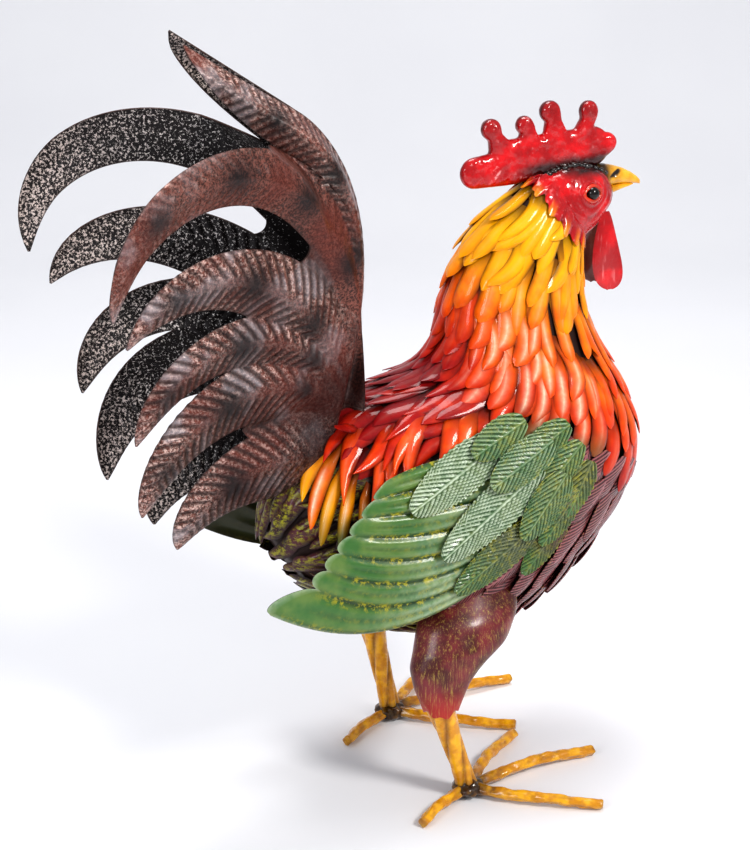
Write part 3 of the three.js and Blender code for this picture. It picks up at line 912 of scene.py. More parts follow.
@dataclass
class Plumage:
    """The fringe-cut strips of the neck, back and rump, finger by finger."""

    body: BodyForm
    placing: Placing
    hackle_tips: tuple[float, ...] = (0.95, 1.7, 2.4, 3.1, 3.75, 4.4, 5.0, 5.6)
    saddle_tips: tuple[float, ...] = (6.0, 6.6, 7.2, 7.8, 8.4, 9.0)
    rump_tips: tuple[float, ...] = (9.7, 10.35, 11.0, 11.65, 12.3, 13.0)
    # How far the airbrushed run has gone at sections down the back.
    airbrush: tuple[tuple[float, float], ...] = (
        (0, 0.0), (1.8, 0.04), (2.6, 0.15), (3.3, 0.26), (4.0, 0.34), (5.0, 0.45), (5.8, 0.57), (9, 0.8),
    )
    hackle_pitch: float = 14.0
    hackle_length: float = 58.0
    # Degrees between two saddle leaves, and how far from the back they go.
    saddle_step: float = 14.5
    saddle_reach: float = 76.0
    rump_pitch: float = 14.5
    rump_length: float = 44.0
    seed: int = 11
    # Leaves of one side that are placed one by one: section and turn of root and tip, width, bow, crown, lift and
    # curl.
    accents: tuple[Leaf, ...] = (
        Leaf((5.6, -22), (7.5, -36), 18, -8, 2.4, (2.5, 9), 5, 0.2, 1.4, 0.9, tone=(0.82, 0.76), pale=0.0),
        Leaf((6.0, -30), (8.1, -46), 20, 9, 2.4, (2.5, 11), 4, 0.2, 1.4, 0.9, tone=(0.78, 0.7), pale=0.0),
        Leaf((5.4, -44), (7.3, -68), 20, 8, 2.4, (2.5, 11), 3, 0.3, 1.5, 0.85, tone=(0.54, 0.56), pale=0.2),
        Leaf((5.6, -36), (7.75, -63), 22, -12, 2.4, (2.5, 12), 4, 0.25, 1.4, 0.9, tone=(0.55, 0.57), pale=0.1),
        Leaf((5.9, -28), (8.2, -60), 22, 14, 2.4, (2.5, 12), 5, 0.25, 1.4, 0.9, tone=(0.58, 0.6), pale=0.1),
        Leaf((6.3, -38), (8.0, -50), 18, 14, 2.4, (2.5, 13), 7, 0.2, 1.4, 0.9, tone=(0.58, 0.56), pale=0.1),
        Leaf((6.6, -30), (8.7, -61), 20, 14, 2.4, (2.5, 13), 4, 0.25, 1.4, 0.9, tone=(0.62, 0.56), pale=0.1),
        Leaf((6.9, -26), (8.6, -40), 18, -14, 2.4, (2.5, 14), 7, 0.2, 1.4, 0.9, tone=(0.7, 0.62), pale=0.0),
        Leaf((7.0, -24), (9.0, -56), 19, -10, 2.4, (2.5, 13), 4, 0.25, 1.4, 0.9, tone=(0.66, 0.54), pale=0.1),
        Leaf((7.3, -18), (9.35, -48), 20, 10, 2.4, (2.5, 13), 5, 0.25, 1.4, 0.9, tone=(0.66, 0.5), pale=0.1),
        Leaf((7.0, -10), (8.9, -28), 17, 9, 2.4, (2.5, 13), 7, 0.2, 1.4, 0.9, tone=(0.78, 0.68), pale=0.0),
        Leaf((7.2, -4), (9.0, -16), 15, -9, 2.4, (2.5, 12), 7, 0.2, 1.4, 0.9, tone=(0.84, 0.76), pale=0.0),
        Leaf((7.9, -15), (10.1, -33), 15, 13, 3.0, (2.5, 13), 0, 0.45, 1.8, 0.8, tone=(0.54, 0.06), pale=0.1),
        Leaf((8.2, -23), (10.5, -48), 13, 11, 3.2, (6, 12), 2, 0.6, 1.8, tone=(0.4, 0.42), pale=1.0),
        Leaf((8.4, -31), (10.6, -59), 12, 10, 3.2, (6, 11), 2, 0.6, 1.8, tone=(0.3, 0.12), pale=0.4, mist=(-0.3, 0.6)),
        Leaf((8.5, -38), (10.3, -67), 12, 9, 3.2, (6, 11), 2, 0.6, 1.8, tone=(0.36, 0.1), pale=0.8, mist=(-0.2, 1.0)),
        Leaf((8.5, -45), (9.8, -70), 12, 7, 3.2, (6, 11), 2, 0.6, 1.8, tone=(0.4, 0.2), pale=0.9, mist=(0.2, 0.9)),
        Leaf((7.6, -18), (8.0, -23), 12, 0, 2.0, (4, 24), 8, tone=(0.72, 0.8), pale=0.0),
    )

    def tone(self, section: float, turn: float) -> float:
        """Returns how far the airbrushed run has gone from yellow to deep red at a place.

        Args:
            section: Place along the body.
            turn: Degrees from the back.

        Returns:
            From 0, yellow, to 1, deep red.
        """
        run = float(np.interp(section, *zip(*self.airbrush)))
        off = abs(turn)
        behind = 0.7 * float(smooth(44, 10, off)) if off < 44 else 0.0
        ahead = float(smooth(105, 150, off))
        return run + behind * 0.075 * section * float(smooth(1.5, 4.0, section)) + ahead * (0.12 - 0.02 * section)

    def hackle(self, finish: Paint) -> Piece:
        """Builds the rows of fingers round the neck.

        Args:
            finish: Its paint.

        Returns:
            The piece.
        """
        random = np.random.default_rng(self.seed)
        maker = LeafMaker(self.body, self.placing)
        for index, tip in enumerate(self.hackle_tips):
            pitch = self.hackle_pitch + 0.4 * index
            count = round(self.body.girth(max(tip - 0.5, 0.2)) / pitch)
            for number in range(count):
                turn = (number + 0.5 * (index % 2) + random.uniform(-0.2, 0.2)) * 360 / count - 180
                end = tip + random.uniform(-0.38, 0.38)
                length = self.hackle_length + random.uniform(-8, 8)
                start = end - length / self.body.per_section(max(tip - 0.7, 0.2), math.radians(turn))
                start = max(start, 0.4 * float(smooth(60, 115, abs(turn))) - 0.35)
                if end - start < 0.35:
                    continue
                around = float(self.body.per_turn(np.array(max(tip, 0.3)), np.array(math.radians(turn))))
                side = -math.copysign(1, turn) * float(smooth(0, 40, abs(turn)) * smooth(175, 140, abs(turn)))
                hook = float(smooth(6.0, 2.5, tip))
                lean = side * random.uniform(-2, 13) * hook + random.uniform(-3.5, 3.5)
                near = abs(abs(turn) - 68)
                tone = self.tone(end, turn) + random.uniform(-0.05, 0.05)
                pale = float(smooth(2.9, 3.5, tip) * smooth(46, 22, near)) * random.uniform(0.35, 1.0)
                mist = float(smooth(5.1, 5.6, end) * smooth(34, 16, abs(abs(turn) - 82)))
                tone = min(tone, 0.6 + 0.3 * float(smooth(30, 55, near)))
                curl = random.uniform(0, 5) * float(smooth(40, 10, abs(turn))) + random.uniform(0, 1)
                width = pitch * random.uniform(0.95, 1.3)
                bow = -side * random.uniform(5, 30) * (0.4 + 0.6 * hook) + random.uniform(-6, 6)
                lift = (0.3 + random.uniform(0, 0.5), 5.2 + random.uniform(-2.0, 1.2))
                taper, point = random.uniform(0.58, 0.76), random.uniform(1.8, 2.4)
                tip_at = (end, turn + math.degrees(lean / around))
                leaf = Leaf((start, turn), tip_at, width, bow, 2.3, lift, curl, taper, point)
                paint = {"tone": (tone - 0.05, tone + 0.17), "mist": (-0.5 * mist, 0.9 * mist)}
                maker.lay(replace(leaf, pale=0.06 + 0.94 * pale, **paint))
        return maker.mesh.build("hackle_fingers", finish)

    def saddle(self, finish: Paint) -> Piece:
        """Builds the broad leaves over the back and the long fingers beside the tail root.

        Args:
            finish: Its paint.

        Returns:
            The piece.
        """
        random = np.random.default_rng(self.seed + 1)
        maker = LeafMaker(self.body, self.placing)
        for index, tip in enumerate(self.saddle_tips):
            for number in range(-5, 6):
                turn = (number + 0.5 * (index % 2)) * self.saddle_step + random.uniform(-3, 3)
                if abs(turn) > self.saddle_reach:
                    continue
                end = tip + random.uniform(-0.25, 0.3)
                start = end - random.uniform(42, 56) / self.body.per_section(tip - 0.5, math.radians(turn))
                outer = float(smooth(22, 62, abs(turn)))
                tone = 0.84 - 0.2 * outer + random.uniform(-0.06, 0.06)
                tip_at = (end, turn + random.uniform(-7, 7))
                width, bow = random.uniform(16, 24), random.uniform(-12, 12)
                lift = (0.6 + random.uniform(0, 0.8), 6.0 + random.uniform(-0.5, 1))
                curl, taper = random.uniform(0, 6) * (1 - 0.6 * outer), random.uniform(0.2, 0.4)
                leaf = Leaf((start, turn), tip_at, width, bow, 2.4, lift, curl, taper, blunt=0.8)
                maker.lay(replace(leaf, tone=(tone, tone + 0.04), pale=0.04))
        for leaf in self.accents:
            for sign in (1, -1):
                root, tip = (leaf.root[0], leaf.root[1] * sign), (leaf.tip[0], leaf.tip[1] * sign)
                maker.lay(replace(leaf, root=root, tip=tip, bow=leaf.bow * sign, root_width=0.4))
        return maker.mesh.build("saddle_fingers", finish)

    def rump(self, finish: Paint) -> Piece:
        """Builds the dark fringe under the tail and round the belly's end.

        Args:
            finish: Its paint.

        Returns:
            The piece.
        """
        random = np.random.default_rng(self.seed + 2)
        maker = LeafMaker(self.body, self.placing)
        for index, tip in enumerate(self.rump_tips):
            count = round(self.body.girth(tip - 0.4) / self.rump_pitch)
            for number in range(count):
                turn = (number + 0.5 * (index % 2) + random.uniform(-0.2, 0.2)) * 360 / count - 180
                end = min(tip + random.uniform(-0.2, 0.2), 13.1)
                start = end - self.rump_length / self.body.per_section(tip - 0.5, math.radians(turn))
                tip_at = (end, turn + random.uniform(-5, 5))
                width, bow = random.uniform(11, 16), random.uniform(-26, 26)
                lift = (0.6 + random.uniform(0, 0.5), 5.8 + random.uniform(-0.5, 0.5))
                curl = random.uniform(0, 1.5)
                maker.lay(Leaf((max(start, 8.2), turn), tip_at, width, bow, 3.6, lift, curl, taper=0.5))
        return maker.mesh.build("rump_fingers", finish)

    def core(self, finish: Paint) -> Piece:
        """Builds the shell that the fingers are welded to.

        Args:
            finish: Its paint.

        Returns:
            The piece.
        """
        mesh = MeshBuilder(self.placing)
        mesh.tube(self.body.point(np.linspace(0, 12, 60)[:, None], circle(72)[None], 0.0))
        return mesh.build("body_core", finish)


@dataclass
class Emboss:
    """The pressed pattern of a feather plate: a quill with slanting barbs."""

    pitch: float = 6.0
    slant: float = 1.3
    depth: float = 1.5
    quill: float = 1.5

    def heights(self, along: Array, across: Array, half: Array) -> tuple[Array, Array]:
        """Works out the pattern.

        Args:
            along: Millimetres from the root.
            across: Millimetres from the quill, signed.
            half: Half width there in millimetres.

        Returns:
            The height in millimetres and the barb value from 0 in a groove to 1 on a crest.
        """
        off = np.abs(across)
        wave = 0.5 + 0.5 * np.cos(2 * math.pi * (along - self.slant * off - 0.03 * off**2) / self.pitch)
        barb = (1 - (1 - wave) ** 1.8) * smooth(0.4, 2.2, off)
        ridge = bell(off, 1.3)
        dome = 1 - (off / np.maximum(half, 0.5)) ** 2
        return self.depth * barb + self.quill * ridge + 1.2 * dome, np.maximum(barb, ridge)


@dataclass
class BreastPlates:
    """Small embossed plates scattered over the breast and belly, one shape on many places."""

    body: BodyForm
    placing: Placing
    length: float = 56.0
    width: float = 31.0
    thickness: float = 0.7
    # Sections where the rows start and end, the step between rows, and millimetres between two plates of a row.
    first: float = 5.75
    last: float = 9.6
    row_step: float = 0.5
    spacing: float = 21.0
    seed: int = 5

    def plate(self) -> Piece:
        """Returns one plate at the origin, root to tip along X and outward along Z.

        Returns:
            The pattern, without paint.
        """
        rows, columns = 18, 11
        u, v = np.linspace(0.01, 0.99, rows)[:, None], np.linspace(-1, 1, columns)[None]
        half = self.width / 2 * np.sin(math.pi * u**0.85) ** 0.5
        along, off = u * self.length, v * half
        x = along - self.length * 0.35
        height = 1.6 * (1 - v**2) - 0.0042 * x**2 - 0.012 * off**2
        grid, drag = points_of(x, off, height), 0.2 + 0.7 * smooth(0.75, 1, np.abs(v))
        mesh = MeshBuilder(Placing((0.0, 0.0)))
        mesh.plate(grid, self.thickness, np.array([0, 0, 1.0]), run=along, off=np.abs(off), drag=drag)
        return mesh.build("plate_pattern")

    def places(self) -> Piece:
        """Returns a mesh of points with the turn and size of each plate.

        Returns:
            The mesh of points.
        """
        random = np.random.default_rng(self.seed)
        points, turns, sizes = [], [], []
        for row, section in enumerate(np.arange(self.first, self.last, self.row_step)):
            around = float(self.body.per_turn(np.array(section), np.array(math.radians(150))))
            step = math.degrees(self.spacing / around)
            first = 88 + 0.5 * step * (row % 2)
            for off in np.arange(first, 181, step):
                for sign in (-1, 1):
                    if sign > 0 and off > 179.5:
                        continue
                    turn = math.radians(sign * (off + random.uniform(-1.5, 1.5)))
                    here = self.body.point(np.array(section), np.array(turn), 3.0)
                    ahead = self.body.point(np.array(section + 0.3), np.array(turn), 3.6)
                    out = Vector(self.body.outward(np.array(section), np.array(turn)))
                    way = Vector(ahead - here)
                    way = (way - out * way.dot(out)).normalized()
                    way = (way + out * 0.03).normalized()
                    side = out.cross(way).normalized()
                    up = way.cross(side)
                    basis = Matrix([[way[i], side[i], up[i]] for i in range(3)])
                    points.append(here)
                    turns.append(tuple(basis.to_euler("XYZ")))
                    sizes.append(1.0 if off < 150 else 0.92)
        return place_points("plate_places", self.placing.metres(np.array(points)), turns, sizes)

    def build(self, finish: Paint) -> Piece:
        """Scatters the plates."""
        return scatter("breast_plates", self.places(), self.plate(), finish, self.seed, tilt=5.0, vary=0.1)


def place_points(name: str, points: Array, turns: list, sizes: list) -> Piece:
    """Makes a mesh of places for the scatter tree.

    Args:
        name: Name of the mesh.
        points: Places in metres.
        turns: XYZ Euler angles at each place.
        sizes: Size at each place.

    Returns:
        The object, linked to the scene.
    """
    mesh = bpy.data.meshes.new(name)
    mesh.from_pydata(points.tolist(), [], [])
    facing = mesh.attributes.new("facing", "FLOAT_VECTOR", "POINT")
    facing.data.foreach_set("vector", np.array(turns, np.float32).ravel())
    size = mesh.attributes.new("size", "FLOAT", "POINT")
    size.data.foreach_set("value", np.array(sizes, np.float32))
    return link_new(name, mesh)


def scatter_tree() -> bpy.types.NodeTree:
    """Builds the node tree that sets one pattern on every point, with a little chance in turn and size.

    Returns:
        The node tree.
    """
    tree = bpy.data.node_groups.new("scatter_pattern", "GeometryNodeTree")
    sockets = (
        ("Places", "NodeSocketGeometry"),
        ("Pattern", "NodeSocketObject"),
        ("Tilt Degrees", "NodeSocketFloat"),
        ("Size Spread", "NodeSocketFloat"),
        ("Seed", "NodeSocketInt"),
        ("Finish", "NodeSocketMaterial"),
    )
    for name, kind in sockets:
        tree.interface.new_socket(name, in_out="INPUT", socket_type=kind)
    tree.interface.new_socket("Geometry", in_out="OUTPUT", socket_type="NodeSocketGeometry")

    start = add_node(tree, "NodeGroupInput").outputs
    pattern = add_node(tree, "GeometryNodeObjectInfo", {"Object": start["Pattern"]})
    radians = add_node(tree, "ShaderNodeMath", {0: start["Tilt Degrees"]}, operation="RADIANS").outputs[0]
    negative = add_node(tree, "ShaderNodeMath", {0: radians, 1: -1.0}, operation="MULTIPLY").outputs[0]
    chances = {"Min": negative, "Max": radians, "Seed": start["Seed"]}
    wobble = add_node(tree, "FunctionNodeRandomValue", chances, data_type="FLOAT_VECTOR")
    facing = add_node(tree, "GeometryNodeInputNamedAttribute", {"Name": "facing"}, data_type="FLOAT_VECTOR")
    held = add_node(tree, "FunctionNodeEulerToRotation", {0: facing.outputs[0]})
    loose = add_node(tree, "FunctionNodeEulerToRotation", {0: wobble.outputs[0]})
    both = {0: held.outputs[0], 1: loose.outputs[0]}
    turned = add_node(tree, "FunctionNodeRotateRotation", both, rotation_space="LOCAL")
    size = add_node(tree, "GeometryNodeInputNamedAttribute", {"Name": "size"}, data_type="FLOAT")
    spread = {0: 1.0, 1: start["Size Spread"]}
    low, high = (add_node(tree, "ShaderNodeMath", spread, operation=way).outputs[0] for way in ("SUBTRACT", "ADD"))
    chance = add_node(tree, "FunctionNodeRandomValue", {2: low, 3: high, "Seed": start["Seed"]}, data_type="FLOAT")
    scale = add_node(tree, "ShaderNodeMath", {0: size.outputs[0], 1: chance.outputs[1]}, operation="MULTIPLY")
    placing = {"Points": start["Places"], "Instance": pattern.outputs["Geometry"]}
    placing |= {"Rotation": turned.outputs[0], "Scale": scale.outputs[0]}
    placed = add_node(tree, "GeometryNodeInstanceOnPoints", placing)
    real = add_node(tree, "GeometryNodeRealizeInstances", {0: placed.outputs[0]})
    dressed = add_node(tree, "GeometryNodeSetMaterial", {"Geometry": real.outputs[0], "Material": start["Finish"]})
    add_node(tree, "NodeGroupOutput", {0: dressed.outputs[0]})
    return tree


def scatter(
    name: str,
    places: Piece,
    pattern: Piece,
    finish: Paint,
    seed: int,
    tilt: float,
    vary: float,
) -> Piece:
    """Sets one pattern on every place and returns it as a plain mesh.

    Args:
        name: Name of the new object.
        places: A mesh of points with facing and size on them.
        pattern: What is set on each point.
        finish: Its material.
        seed: Seed of the chance in turn and size.
        tilt: Largest chance turn in degrees.
        vary: Largest chance change of size, as a share.

    Returns:
        The object.
    """
    tree = bpy.data.node_groups.get("scatter_pattern") or scatter_tree()
    modifier = places.modifiers.new("scatter", "NODES")
    modifier.node_group = tree
    wanted = {"Pattern": pattern, "Tilt Degrees": tilt, "Size Spread": vary, "Seed": seed, "Finish": finish}
    for item in tree.interface.items_tree:
        if item.item_type == "SOCKET" and item.in_out == "INPUT" and item.name in wanted:
            modifier[item.identifier] = wanted[item.name]
    depsgraph = bpy.context.evaluated_depsgraph_get()
    mesh = bpy.data.meshes.new_from_object(places.evaluated_get(depsgraph), depsgraph=depsgraph)
    mesh.name = name
    made = link_new(name, mesh)
    for old in (places, pattern):
        bpy.data.objects.remove(old)
    return made


@dataclass
class Wing:
    """One wing: a pressed pan of ribs with scalloped ends, and embossed plates over its shoulder."""

    side: Side
    placing: Placing
    shoulder: tuple = ((36, 214), (66, 300))
    sag: tuple = ((-72, 128), (-14, 316))
    # X and Z of the pan's end at its lower tip, at the first notch and at the top.
    ends: tuple = ((0.0, -191, 211), (0.15, -149, 224), (1.0, -80, 292))
    lobes: tuple[float, ...] = (0.0, 0.15, 0.29, 0.43, 0.57, 0.71, 0.85, 1.0)
    lobe_depth: float = 0.042
    rib: float = 2.0
    half: float = 89.0
    radius: float = 140.0
    # A point on the line where the wing stands out most, and the line's slope.
    bulge: tuple[float, float, float] = (40.0, 250.0, 0.35)
    thickness: float = 1.2
    plate_thickness: float = 0.9
    plates: tuple = (
        # Root, tip, width, layer, silver, olive, plum.
        ((22, 316), (-62, 268), 36, 0, 1.0, 0.1, 0.0),
        ((50, 243), (-24, 193), 34, 0, 0.15, 0.55, 0.35),
        ((52, 291), (-38, 227), 38, 1, 1.0, 0.1, 0.0),
        ((72, 284), (33, 232), 32, 2, 0.25, 0.6, 0.05),
        ((60, 313), (4, 281), 32, 3, 0.4, 0.4, 0.0),
    )
    # Small plates that lie round the large ones and belong to no solid of their own.
    extra: tuple = (
        ((78, 322), (34, 296), 26, 1, 0.2, 0.5, 0.0),
        ((88, 306), (52, 270), 26, 1, 0.2, 0.6, 0.0),
        ((84, 268), (52, 222), 26, 1, 0.1, 0.6, 0.35),
        ((40, 330), (-8, 306), 26, 2, 0.25, 0.4, 0.0),
        ((76, 250), (40, 196), 28, 0, 0.05, 0.4, 0.75),
        ((96, 290), (74, 244), 24, 1, 0.1, 0.6, 0.3),
    )

    def over(self, x: Array, z: Array) -> Array:
        """Returns the distance of the wing's curved face from the middle plane.

        Args:
            x: Millimetres forward.
            z: Millimetres up.

        Returns:
            Millimetres.
        """
        at_x, at_z, slope = self.bulge
        off = (z - at_z - slope * (x - at_x)) / math.hypot(1, slope)
        return self.half * np.sqrt(np.clip(1 - (off / self.radius) ** 2, 0.1, 1))

    def pan(self, finish: Paint) -> Piece:
        """Builds the ribbed pan.

        Args:
            finish: Its paint.

        Returns:
            The piece.
        """
        rows, columns = 148, 72
        across, along = np.linspace(0, 1, rows)[:, None], np.linspace(0, 1, columns)[None]
        lobe = np.interp(across, self.lobes, np.arange(len(self.lobes)))
        phase = lobe - np.floor(np.minimum(lobe, len(self.lobes) - 1.001))
        round_end = np.sqrt(np.clip(1 - (2 * phase - 1) ** 2, 0, 1))
        share = along * (1 - self.lobe_depth * (1 - round_end))
        ends = []
        for low, high in (self.shoulder, self.sag):
            ends.append([low[i] + (high[i] - low[i]) * across for i in (0, 1)])
        table = np.array(self.ends)
        ends.append([np.interp(across, table[:, 0], table[:, i]) for i in (1, 2)])
        weights = ((1 - share) ** 2, 2 * share * (1 - share), share**2)
        x, z = (sum(weight * end[i] for weight, end in zip(weights, ends)) for i in (0, 1))
        # The far wing's end stands a little higher.
        z = z + (12 * share if self.side is Side.LEFT else 0)
        crest = np.sin(math.pi * phase) ** 0.8
        strength = smooth(0.05, 0.4, share) * (1 - 0.55 * smooth(0.8, 1, share))
        fine = np.cos(4 * math.pi * phase) * (0.75 + 0.25 * np.cos(along * 190)) * smooth(0.97, 0.8, share)
        height = (self.rib * (crest - 0.4) - 0.75 * fine) * strength
        sign = self.side.sign
        grid = points_of(x, sign * (self.over(x, z) + height), z)
        # Painted shade fills the hollows between the ribs; a painted sheen of silver-green lies on the crests near the
        # shoulder and along the pan's outer end and lowest edge.
        hollow = (1 - crest) ** 1.5
        rim = np.maximum(smooth(0.975, 1.0, along), smooth(0.012, 0.0, across))
        dragged = np.clip(hollow * 1.8 + 0.3 * fine, 0, 1) * smooth(0.2, 0.5, share) * smooth(1.0, 0.8, share)
        silver = 0.55 * crest * (0.6 - 0.4 * fine) * smooth(0.75, 0.3, share) * smooth(1.0, 0.6, across)
        mesh = MeshBuilder(self.placing)
        mesh.plate(
            grid,
            self.thickness,
            np.array([0, sign, 0.0]),
            groove=np.clip(0.75 * hollow + 0.45 * fine, 0, 1) * strength,
            olive=dragged + 0.45 * (1 - hollow) * smooth(0.7, 0.3, share),
            pale=np.clip(silver + 0.35 * rim, 0, 1),
        )
        return mesh.build(f"wing_{self.side}", finish)

    def cover(self, finish: Paint, number: int, plates: tuple) -> Piece:
        """Builds one or more embossed plates over the pan.

        Args:
            finish: Its paint.
            number: Number in its name.
            plates: Rows as in the fields of this class.

        Returns:
            The piece.
        """
        mesh = MeshBuilder(self.placing)
        for (x0, z0), (x1, z1), width, layer, silver, olive, plum in plates:
            rows, columns = (84, 27) if len(plates) == 1 else (64, 25)
            u, v = np.linspace(0.01, 0.99, rows)[:, None], np.linspace(-1, 1, columns)[None]
            length = math.hypot(x1 - x0, z1 - z0)
            half = width * 0.53 * np.sin(math.pi * u**0.86) ** 0.46
            height, barb = Emboss().heights(u * length, v * half, half)
            notch = 1 - 0.07 * (1 - barb) * (np.abs(v) > 0.9)
            away = v * half * notch
            x = x0 + (x1 - x0) * u - away * (z1 - z0) / length
            z = z0 + (z1 - z0) * u + away * (x1 - x0) / length
            lift = 2.8 + 2.5 * layer + height
            grid = points_of(x, self.side.sign * (self.over(x, z) + lift), z)
            edge = smooth(0.85, 1, np.abs(v))
            # Painted shade in the barb grooves; silver-green on the barb crests, partly dry brushing and partly
            # painted highlight.
            mesh.plate(
                grid,
                self.plate_thickness,
                np.array([0, self.side.sign, 0.0]),
                groove=1 - barb,
                olive=np.clip(olive * (0.4 + 0.6 * barb) + 0.5 * edge, 0, 1),
                pale=0.95 * silver * barb**4,
                plum=plum * smooth(0.15, 0.7, 1 - u),
            )
        return mesh.build(f"covert_plate_{self.side}_{number}", finish)


@dataclass
class TailFan:
    """One side of the tail: six pressed sickles that spring from a welded root."""

    side: Side
    placing: Placing
    # Root X and Z, first and last heading, bend, straight share, length, half width, taper.
    sickles: tuple = (
        (-85, 321, 76, 146, 2.13, 0.71, 389, 36, 5.7),
        (-75, 334, 88, 270, 1.66, 1.0, 428, 22.5, 5.2),
        (-76, 327, 111, 237, 1.86, 1.0, 300, 31, 2.6),
        (-82, 321, 106, 256, 1.26, 1.0, 271, 22, 4.2),
        (-88, 323, 111, 263, 0.88, 1.0, 245, 31, 2.5),
        (-84, 301, 170, 261, 1.95, 1.0, 179, 36, 2.2),
        (-84, 313, 152, 176, 1.0, 1.0, 104, 25, 3.0),
    )
    spacing: float = 1.85
    ridge: float = 8.0
    barb: float = 2.2
    thickness: float = 1.2
    lip: float = 4.4
    # Millimetres between two barbs and between two clouds.
    barb_pitch: float = 9.0
    cloud_pitch: float = 74.0
    # What lies behind this X is drawn in a little, to stay inside the solid's box.
    squeeze: float = -275.0

    def line(self, sickle: tuple, steps: int = 160) -> tuple[Array, Array, Array]:
        """Returns the points, headings and shares along a sickle's curve.

        Args:
            sickle: Its row of sizes.
            steps: How many steps.

        Returns:
            Points, headings in radians, and shares from 0 to 1.
        """
        x0, z0, first, last, bend, straight, length = sickle[:7]
        share = np.linspace(0, 1, steps + 1)
        middle = (share[:-1] + share[1:]) / 2
        heading = [np.radians(first + (last - first) * np.minimum(1, s / straight) ** bend) for s in (share, middle)]
        step = length / steps
        x = x0 + np.concatenate([[0], np.cumsum(np.cos(heading[1]) * step)])
        z = z0 + np.concatenate([[0], np.cumsum(np.sin(heading[1]) * step)])
        return np.stack([x, z], axis=1), heading[0], share

    def width(self, index: int, share: Array) -> Array:
        """Returns the half width of a sickle along its length.

        Args:
            index: Which sickle.
            share: Places along it.

        Returns:
            Millimetres.
        """
        wide, taper = self.sickles[index][7:]
        root = 0.6 if index == 0 else 0.25
        return wide * (1 - np.minimum(share, 0.998) ** taper) ** 0.7 * (root + (1 - root) * smooth(0, 0.45, share))

    def outline(self, index: int) -> Array:
        """Returns the closed outline of a sickle in side view.

        Args:
            index: Which sickle.

        Returns:
            X and Z of its corners.
        """
        points, heading, share = self.line(self.sickles[index], 72)
        normal = np.stack([-np.sin(heading), np.cos(heading)], axis=1)
        wide = self.width(index, share)[:, None]
        near = points if index == 0 else points - normal * wide
        return np.concatenate([near, (points + normal * wide)[::-1]])

    def bridge(self) -> Array:
        """Returns the outline of the sheet left between the second and the third sickle.

        Returns:
            X and Z of its corners.
        """
        rims = []
        for index, sign, low, high in ((1, 1, 0.06, 0.41), (2, -1, 0.1, 0.5)):
            points, heading, share = self.line(self.sickles[index])
            normal = np.stack([-np.sin(heading), np.cos(heading)], axis=1)
            rim = points + sign * normal * (self.width(index, share)[:, None] - 2.5)
            rims.append(rim[(share > low) & (share < high)])
        start, end = rims[0][-1], rims[1][-1]
        across = end - start
        away = np.array([across[1], -across[0]])
        away *= np.sign(np.dot(away, rims[0][0] - start))
        share = np.linspace(0.08, 0.92, 9)[:, None]
        hollow = start + across * share + 0.42 * away * np.sin(math.pi * share) ** 0.6
        return np.concatenate([rims[0], hollow, rims[1][::-1]])

    def spread(self, points: Array) -> Array:
        """Returns half the distance between the two sheets.

        Args:
            points: X and Z of each point.

        Returns:
            Millimetres from the middle plane.
        """
        behind = nearest_gap(points, self.line(self.sickles[0])[0])
        rise = 400 * np.tanh(np.maximum(points[:, 1] - 200, 0) / 400)
        return (10 + 0.0016 * np.maximum(-50 - points[:, 0], 0) * rise) * smooth(0, 13, behind)

    def relief(self, points: Array) -> dict[str, Array]:
        """Works out the pressed shape and the paint values at points of the sheet.

        Args:
            points: X and Z of each point.

        Returns:
            Height over the plain sheet, place along the sickle, pale paint that is partly wear and partly painted
            highlight, painted shade in the grooves and lower halves, black cloud, and the first sickle's own share,
            each with one number a point.
        """
        size = len(points)
        best = np.full(size, -1e9)
        made = {key: np.zeros(size) for key in ("height", "along", "pale", "groove", "cloud", "front")}
        for index, sickle in enumerate(self.sickles[:6]):
            u, off, wide = self.place(index, points)
            across = off / np.maximum(wide, 0.5)
            if index == 0:
                across = np.where(across < 0.4, (across - 0.4) / 0.4, (across - 0.4) / 0.6)
                made["front"] = smooth(0.35, 0.8, u) * smooth(1.5, 1.0, np.abs(across))
            off = off - (0.4 * wide if index == 0 else 0)
            tent = np.clip(1 - np.abs(across), 0, 1)
            full = wide / sickle[7]
            fade = (0.4 + 0.6 * full) * smooth(0.02, 0.25, u) * smooth(1.0, 0.93, u)
            ridge = (5.5 if index == 0 else self.ridge) * fade * tent**0.85
            strength = (0.8, 0.25, 0.9, 1.0, 1.0, 1.0)[index] * smooth(0.14, 0.42, u) * smooth(1.0, 0.86, u)
            along = u * sickle[6]
            wave = 0.5 + 0.5 * np.cos(2 * math.pi * (along - 0.8 * np.abs(off)) / self.barb_pitch)
            barb = wave * smooth(0.04, 0.25, np.abs(across)) * smooth(1.08, 0.85, np.abs(across))
            score = ridge + 0.01 * index - 60 * np.maximum(np.abs(across) - 1, 0) - 60 * (u <= 0) - 60 * (u >= 1)
            take = score > best
            best = np.where(take, score, best)
            beat = 0.5 + 0.5 * np.cos(2 * math.pi * along / self.cloud_pitch + index * 1.9)
            spot = bell(across, 0.6) * beat**2.2
            slit = smooth(0.6, 1.1, np.abs(across)) * smooth(0.2, 0.34, u) * smooth(0.55, 0.42, u)
            edge = smooth(0.8, 1.0, np.abs(across))
            # Painted light: the upper half of each sickle and its barb crests are paler, the grooves and the lower
            # half darker.
            upper = smooth(0.1, -0.35, across) if index else smooth(0.2, -0.2, across)
            wear_and_highlight = 0.34 + 0.75 * strength * barb * (0.35 + 0.65 * upper) + 0.45 * smooth(0.55, 1, u)
            wear_and_highlight = wear_and_highlight + 0.25 * edge - (0.1, 0.4, 0, 0, 0, 0)[index]
            deep = strength * (1 - wave) ** 1.3 * smooth(0.04, 0.25, np.abs(across)) + 0.45 * (1 - upper) * strength
